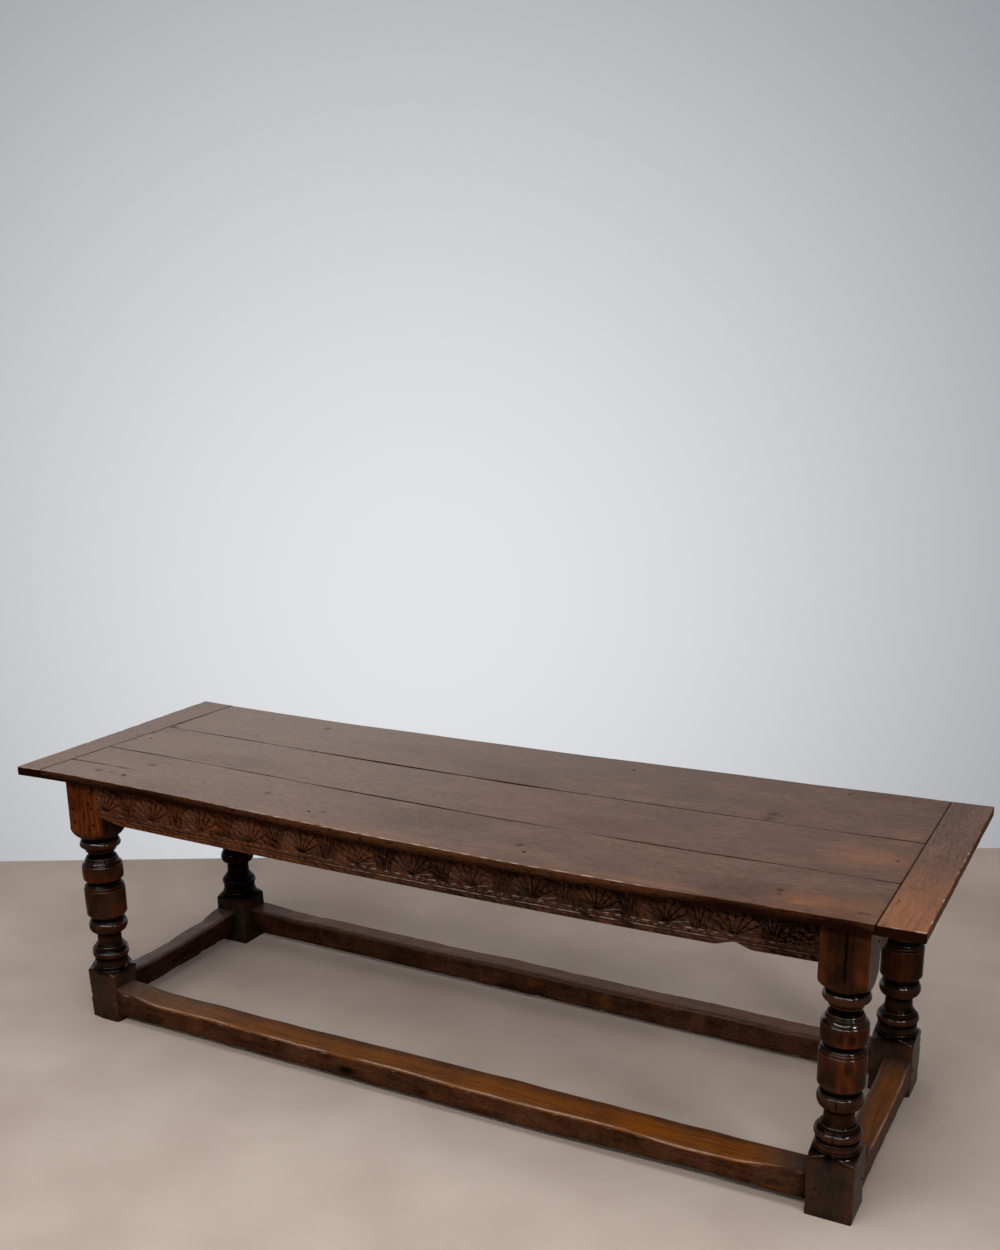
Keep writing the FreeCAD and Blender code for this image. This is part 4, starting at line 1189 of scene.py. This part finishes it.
def turned_profile():
    """Radius and height of each ring, how deep it lies among its neighbours and how far it looks up: the
    turned line, sampled evenly along its length, blurred over about a millimetre and thinned to the
    rings' spacing."""
    line = turned_line()
    length = np.concatenate([[0], np.cumsum(np.hypot(*np.diff(line, axis=0).T))])
    fine = np.arange(0, length[-1], FINE)
    dense = np.stack([np.interp(fine, length, line[:, i]) for i in (0, 1)])
    kernel = bell(np.arange(-BLUR_REACH, BLUR_REACH + 1) * FINE, EASED)
    radius, height = (smoothed(row, kernel) for row in dense)
    deep = smoothed(dense[0], np.ones(2 * HOLLOW_REACH + 1)) - dense[0]
    fall, rise = np.gradient(radius), np.gradient(height)
    facing_up = -fall / np.hypot(fall, rise)
    block = (dense[1] < FOOT_BLOCK - 6) | (dense[1] > HEAD_BLOCK + 6)
    count = np.concatenate([[0], np.cumsum(FINE / np.where(block, BLOCK_STEP, TURNED_STEP)[:-1])])
    pick = np.interp(np.arange(0, count[-1]), count, np.arange(len(fine)))
    take = np.append(pick.astype(int), len(fine) - 1)
    rings = (radius, np.clip(height, 0, LEG_TOP), deep, facing_up)
    return [values[take][:, None] for values in rings]


ring_radius, ring_height, ring_hollow, ring_tilt = turned_profile()
print(f"{len(ring_radius)} rings from {ring_height[0, 0]:.0f} to {ring_height[-1, 0]:.0f} mm")

# %% Form of a leg
SECTORS = 30            # points on each quarter of a ring
SQUAREST = 44           # p of a crisp square corner
FLAWS = {       # direction in degrees, height, half width, half height and depth of a dent, and its dirt
    "front_right_leg": (        # knot in the foot, cracks
        (-98, 140, 9, 20, 10, 1.6), (-88, 196, 2.6, 18, 3.5, 1.2), (-86, 284, 3, 13, 2.5, 1.1),
        (-85, 655, 3.0, 75, 3, 1.3)),
    "front_left_leg": (         # four dark peg holes, a crack, worn foot corners
        (-66, 663, 4.6, 4.6, 1.5, 1.2), (-126, 643, 4.6, 4.6, 1.5, 1.2), (-122, 604, 4.6, 4.6, 1.5, 1.2),
        (-58, 605, 4.6, 4.6, 1.5, 1.2), (-112, 700, 2.4, 22, 1.5, 1.0), (-135, 90, 24, 120, 12, 0.0),
        (45, 90, 26, 120, 18, 0.0)),
}
corner_step = np.linspace(-1, 1, SECTORS, endpoint=False)
quarter = np.pi / 4 * np.sin(np.pi / 2 * corner_step)
angle = (np.pi / 2 * np.arange(4)[:, None] + quarter).ravel() % (2 * np.pi)
ring_x, ring_y = np.cos(angle), np.sin(angle)


def wander_round(seed, size, radius, height):
    """Waviness on a cylinder of that radius round the leg's axis."""
    return wander(seed, size, height, radius * ring_x, radius * ring_y)


def leg_form(name, seed, foot, girth):
    """Radius of each point: soft minimum of the turned profile and the p-norm square, the turned part
    thickened by girth. foot is the p of the worn bottom corners, and each of the leg's FLAWS is a
    bell-shaped dent. Also gives the dirt in the dents and where a highlight is painted along the edge
    where the foot block meets the turning."""
    z = ring_height
    c, s = np.abs(ring_x), np.abs(ring_y)
    power = foot + (SQUAREST - foot) * ease(z, 0, 110) - 16 * ease(z, 100, FOOT_BLOCK) * (z < 300)
    power = np.clip(power + 5 * wander_round(seed, 60, 40, z), 9, 60)
    square = HALF_LEG * (c ** power + s ** power) ** (-1 / power)
    knock = chips(seed, 10, z[:, 0], (0, FOOT_BLOCK), 9, 1.6)[:, None] * (c * s * 2) ** 12
    turned = ring_radius + 0.5 * wander_round(seed + 1, 90, 50, z)
    soft = np.where((z < FOOT_BLOCK + 50) | (z > HEAD_BLOCK - 40), 1.0, 0.15)
    radius = -soft * np.logaddexp(-turned / soft, -square / soft) - knock
    radius = radius * (1 + (girth - 1) * ease(z, 0, 60) * ease(-z, -HEAD_BLOCK, 40 - HEAD_BLOCK))
    hole = 0.0
    for heading, height, wide, tall, deep, dirt in FLAWS.get(name, ()):
        off = HALF_LEG * (angle - np.radians(heading) % (2 * np.pi))
        dent = bell(off, wide) * bell(z - height, tall)
        radius, hole = radius - deep * dent, hole + dirt * dent
    ledge_highlight = bell(turned - square, 1.2) * ease(z, FOOT_BLOCK - 10, FOOT_BLOCK) * (z < FOOT_BLOCK + 30)
    return radius, hole, ledge_highlight


print(len(angle), "points on each ring, crowded towards the four corners")

# %% Legs
LEGS = {
    "front_left_leg": dict(seed=81, head=1.0, rubbed=0.45, foot=16, amber=(-130, 0.3), girth=1.07, gloom=0.0),
    "front_right_leg": dict(seed=82, head=0.12, rubbed=0.5, foot=22, amber=(-68, 0.5), girth=1.0, gloom=0.0),
    "back_left_leg": dict(seed=83, head=0.1, rubbed=0.15, foot=20, amber=(-75, 0.0), girth=1.0, gloom=0.5),
    "back_right_leg": dict(seed=84, head=0.1, rubbed=0.3, foot=20, amber=(-75, 0.0), girth=1.0, gloom=0.0),
}
AMBER_HEIGHTS = (310, 475)      # between which knees rub the drum
DRUM_HEIGHTS = (315, 490)
FADE = 20
DUST = 0.037


def band(z, low, high):
    """1 between two heights, with a smooth start and a smooth end, each FADE long."""
    return ease(z, low, low + FADE) * ease(-z, -high, FADE - high)


def turned_leg(name, seed, head, rubbed, foot, amber, girth, gloom):
    """A leg with its wear, dirt, painted shade and painted highlight. head and rubbed say how much of the
    dark colour is rubbed off the front of the top block and the drums, amber is the direction and strength of
    a patch that knees rubbed on the drum, and gloom is how much darker the whole leg is painted, as shade.
    foot and girth are leg_form's."""
    low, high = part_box(name)
    radius, hole, ledge_highlight = leg_form(name, seed, foot, girth)
    x = (low[0] + high[0]) / 2 + radius * ring_x * MM
    y = (low[1] + high[1]) / 2 + radius * ring_y * MM
    z = ring_height
    block = 1 - ease(z, FOOT_BLOCK - 10, FOOT_BLOCK + 20) + ease(z, HEAD_BLOCK - 30, HEAD_BLOCK - 5)
    corner = np.abs(2 * ring_x * ring_y) ** 10
    # Dirt in grooves deep among their neighbours; rings' shoulders that face up are painted dark as shade,
    # since they would mirror the dark underside of the top.
    shoulder = 0.85 - 0.4 * (z < FOOT_BLOCK + 16)
    hollow = np.clip(ring_hollow, 0, 3) / 3 + shoulder * ease(ring_tilt, 0.4, 0.85)
    crown = np.clip(-ring_hollow, 0, 4) / 4
    mottle = wander_round(seed + 2, 110, 60, z)
    smoke = wander_round(seed + 3, 70, 60, z) + block * wander_round(seed + 5, 30, 60, 0.5 * z)
    drum = 0.35 + 0.65 * band(z, *DRUM_HEIGHTS)
    wear = rubbed * drum * ease(mottle, -0.6, 1.0) * (1 - block) + 0.12 * crown
    wear = wear + 0.2 * corner * block + 0.2 * block * ease(-smoke, 0.3, 1.2) * (z > FOOT_BLOCK)
    off = (angle - np.radians(amber[0]) + np.pi) % (2 * np.pi) - np.pi
    blotch = ease(wander_round(seed + 7, 30, 60, 0.7 * z), -0.7, 0.5)
    wear = wear + amber[1] * bell(off, 0.4) * band(z, *AMBER_HEIGHTS) * blotch
    streak = ease(wander(seed + 4, 9, HALF_LEG * angle, 0.1 * z), -0.1, 0.7)
    fore = ease(-ring_y, 0.5, 0.72) * ease(z, HEAD_BLOCK - 35, HEAD_BLOCK - 10)
    wear = wear + head * fore * (1.0 + 0.3 * mottle - 0.9 * streak)
    # Dirt in dents and peg holes; painted shade at the top of the leg, under the boards; darker over the
    # lowest 30 mm; the whole leg darkened by its given amount of painted shade.
    grime_and_painted_shade = hollow * (1 - block) + 0.9 * hole + 0.45 * ease(z, 715, 735) + 0.35 * ease(-z, -30, 0)
    grime_and_painted_shade = grime_and_painted_shade + 0.38 * ease(smoke, 0.2, 1.2) + gloom
    bare_and_painted_light = DUST * ease(FOOT_BLOCK + 10 - z, 0, 20)
    # A painted highlight along the edge where the foot block meets the turning.
    bare_and_painted_light = bare_and_painted_light + 0.2 * ledge_highlight * ease(wander(seed + 6, 22, HALF_LEG * angle), 0.1, 0.9)
    height = z * MM - sag(x, y) * ease(z, HEAD_BLOCK, LEG_TOP)
    place(name, np.stack([x, y, height], axis=-1), 2, seed, wear, grime_and_painted_shade, bare_and_painted_light)


for name, facts in LEGS.items():
    turned_leg(name, **facts)

# %% [markdown]
# ## Pegs
# No glue and no screws: every joint is held by a riven oak peg driven through it. A riven peg is not quite
# round, and its head is rubbed to a low dome. A group of equal pegs is one piece, and its box in the frame
# says where the outermost ones are.

# %% One group of pegs
PEG_SIDES = 14
PEG_RADIUS = 4.5 * MM
DOME = np.array((       # rings of the head, as shares of its radius and of its height
    (0.25, 1.0), (0.62, 0.93), (0.86, 0.74), (0.97, 0.4), (1.0, 0.0),
))
DOME_HEIGHT = 1.1 * MM
LUMPS = 0.07
SAG_FROM = 0.73         # what is above this height went down with the top


def peg_group(name, heads, facing, depth, seed, dark=1.0):
    """Pegs with domed heads at the points heads, whose axes point along facing and whose shanks go depth
    inwards; dark, 0 to 1, is how much their heads stand out from the wood."""
    random = np.random.default_rng(seed)
    facing = np.array(facing, float)
    side = np.roll(np.abs(facing), 1)
    turn = np.linspace(0, 2 * np.pi, PEG_SIDES, endpoint=False)[:, None]
    lumpy = 1 + LUMPS * random.normal(size=(len(heads), PEG_SIDES))
    width = np.concatenate([DOME[:, 0], (1.0,)])
    rise = np.concatenate([(DOME[:, 1] - 1) * DOME_HEIGHT, (-depth,)])
    reach = PEG_RADIUS * width[None, :, None] * lumpy[:, None, :]
    spread = np.cos(turn) * side + np.sin(turn) * np.cross(facing, side)
    points = np.array(heads)[:, None, None, :] + reach[..., None] * spread
    points = points + rise[None, :, None, None] * facing
    points[..., 2] -= sag(points[..., 0], points[..., 1]) * (points[..., 2] > SAG_FROM)
    rim = (width > 0.9)[None, :, None]
    along = int(np.argmax(np.abs(facing)))
    place(name, points, along, seed, 1 - 0.85 * dark, (0.9 * rim + 0.2) * dark)


print("a peg is", 2 * PEG_RADIUS / MM, "mm thick")

# %% All pegs
JOINTS = {      # the axis that each rail and stretcher lies along
    "front_rail": 0, "back_rail": 0, "left_end_rail": 1, "right_end_rail": 1,
    "front_stretcher": 0, "back_stretcher": 0, "left_end_stretcher": 1, "right_end_stretcher": 1,
}
EDGE_PEGS = [(share, 0) for share in (-1, -1 / 3, 1 / 3, 1)]
TOP_PEGS = {    # places of the pegs as shares of the group's reach, and how dark they are
    "front_top_pegs": (EDGE_PEGS, 0.7),
    "back_top_pegs": (EDGE_PEGS, 0.2),
    "middle_top_pegs": ([(-1, 1), (1, -1)], 0.3),
    "left_cleat_pegs": ([(-1, -1), (0, 0), (1, 1)], 0.15),
    "right_cleat_pegs": ([(1, -1), (0, 0), (-1, 1)], 0.15),
}


def joint_pegs(name, along, seed):
    """Pegs through the tenons of one rail or stretcher: two columns, at the outermost places of the
    group's box."""
    low, high = (np.array(corner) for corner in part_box(name))
    side = 1 - along
    outward = 1 if low[side] + high[side] > 0 else -1
    facing = np.zeros(3)
    facing[side] = outward
    rows = sorted({round(low[2] + PEG_RADIUS, 5), round(high[2] - PEG_RADIUS, 5)})
    heads = []
    for column in (low[along] + PEG_RADIUS, high[along] - PEG_RADIUS):
        for row in rows:
            head = np.zeros(3)
            head[along], head[side], head[2] = column, (high if outward > 0 else low)[side], row
            heads.append(head)
    peg_group(name, heads, facing, high[side] - low[side] - DOME_HEIGHT, seed)


def top_pegs(name, shares, dark, seed):
    """Pegs through the top: spread between the outermost ones of the group's box, their heads up."""
    low, high = (np.array(corner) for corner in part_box(name))
    middle, reach = (low + high) / 2, (high - low) / 2 - PEG_RADIUS
    heads = [(middle[0] + s * reach[0], middle[1] + t * reach[1], high[2]) for s, t in shares]
    peg_group(name, heads, (0, 0, 1), high[2] - low[2] - DOME_HEIGHT, seed, dark)


for seed, (name, along) in enumerate(JOINTS.items(), 91):
    joint_pegs(name + "_pegs", along, seed)
for seed, (name, facts) in enumerate(TOP_PEGS.items(), 101):
    top_pegs(name, *facts, seed)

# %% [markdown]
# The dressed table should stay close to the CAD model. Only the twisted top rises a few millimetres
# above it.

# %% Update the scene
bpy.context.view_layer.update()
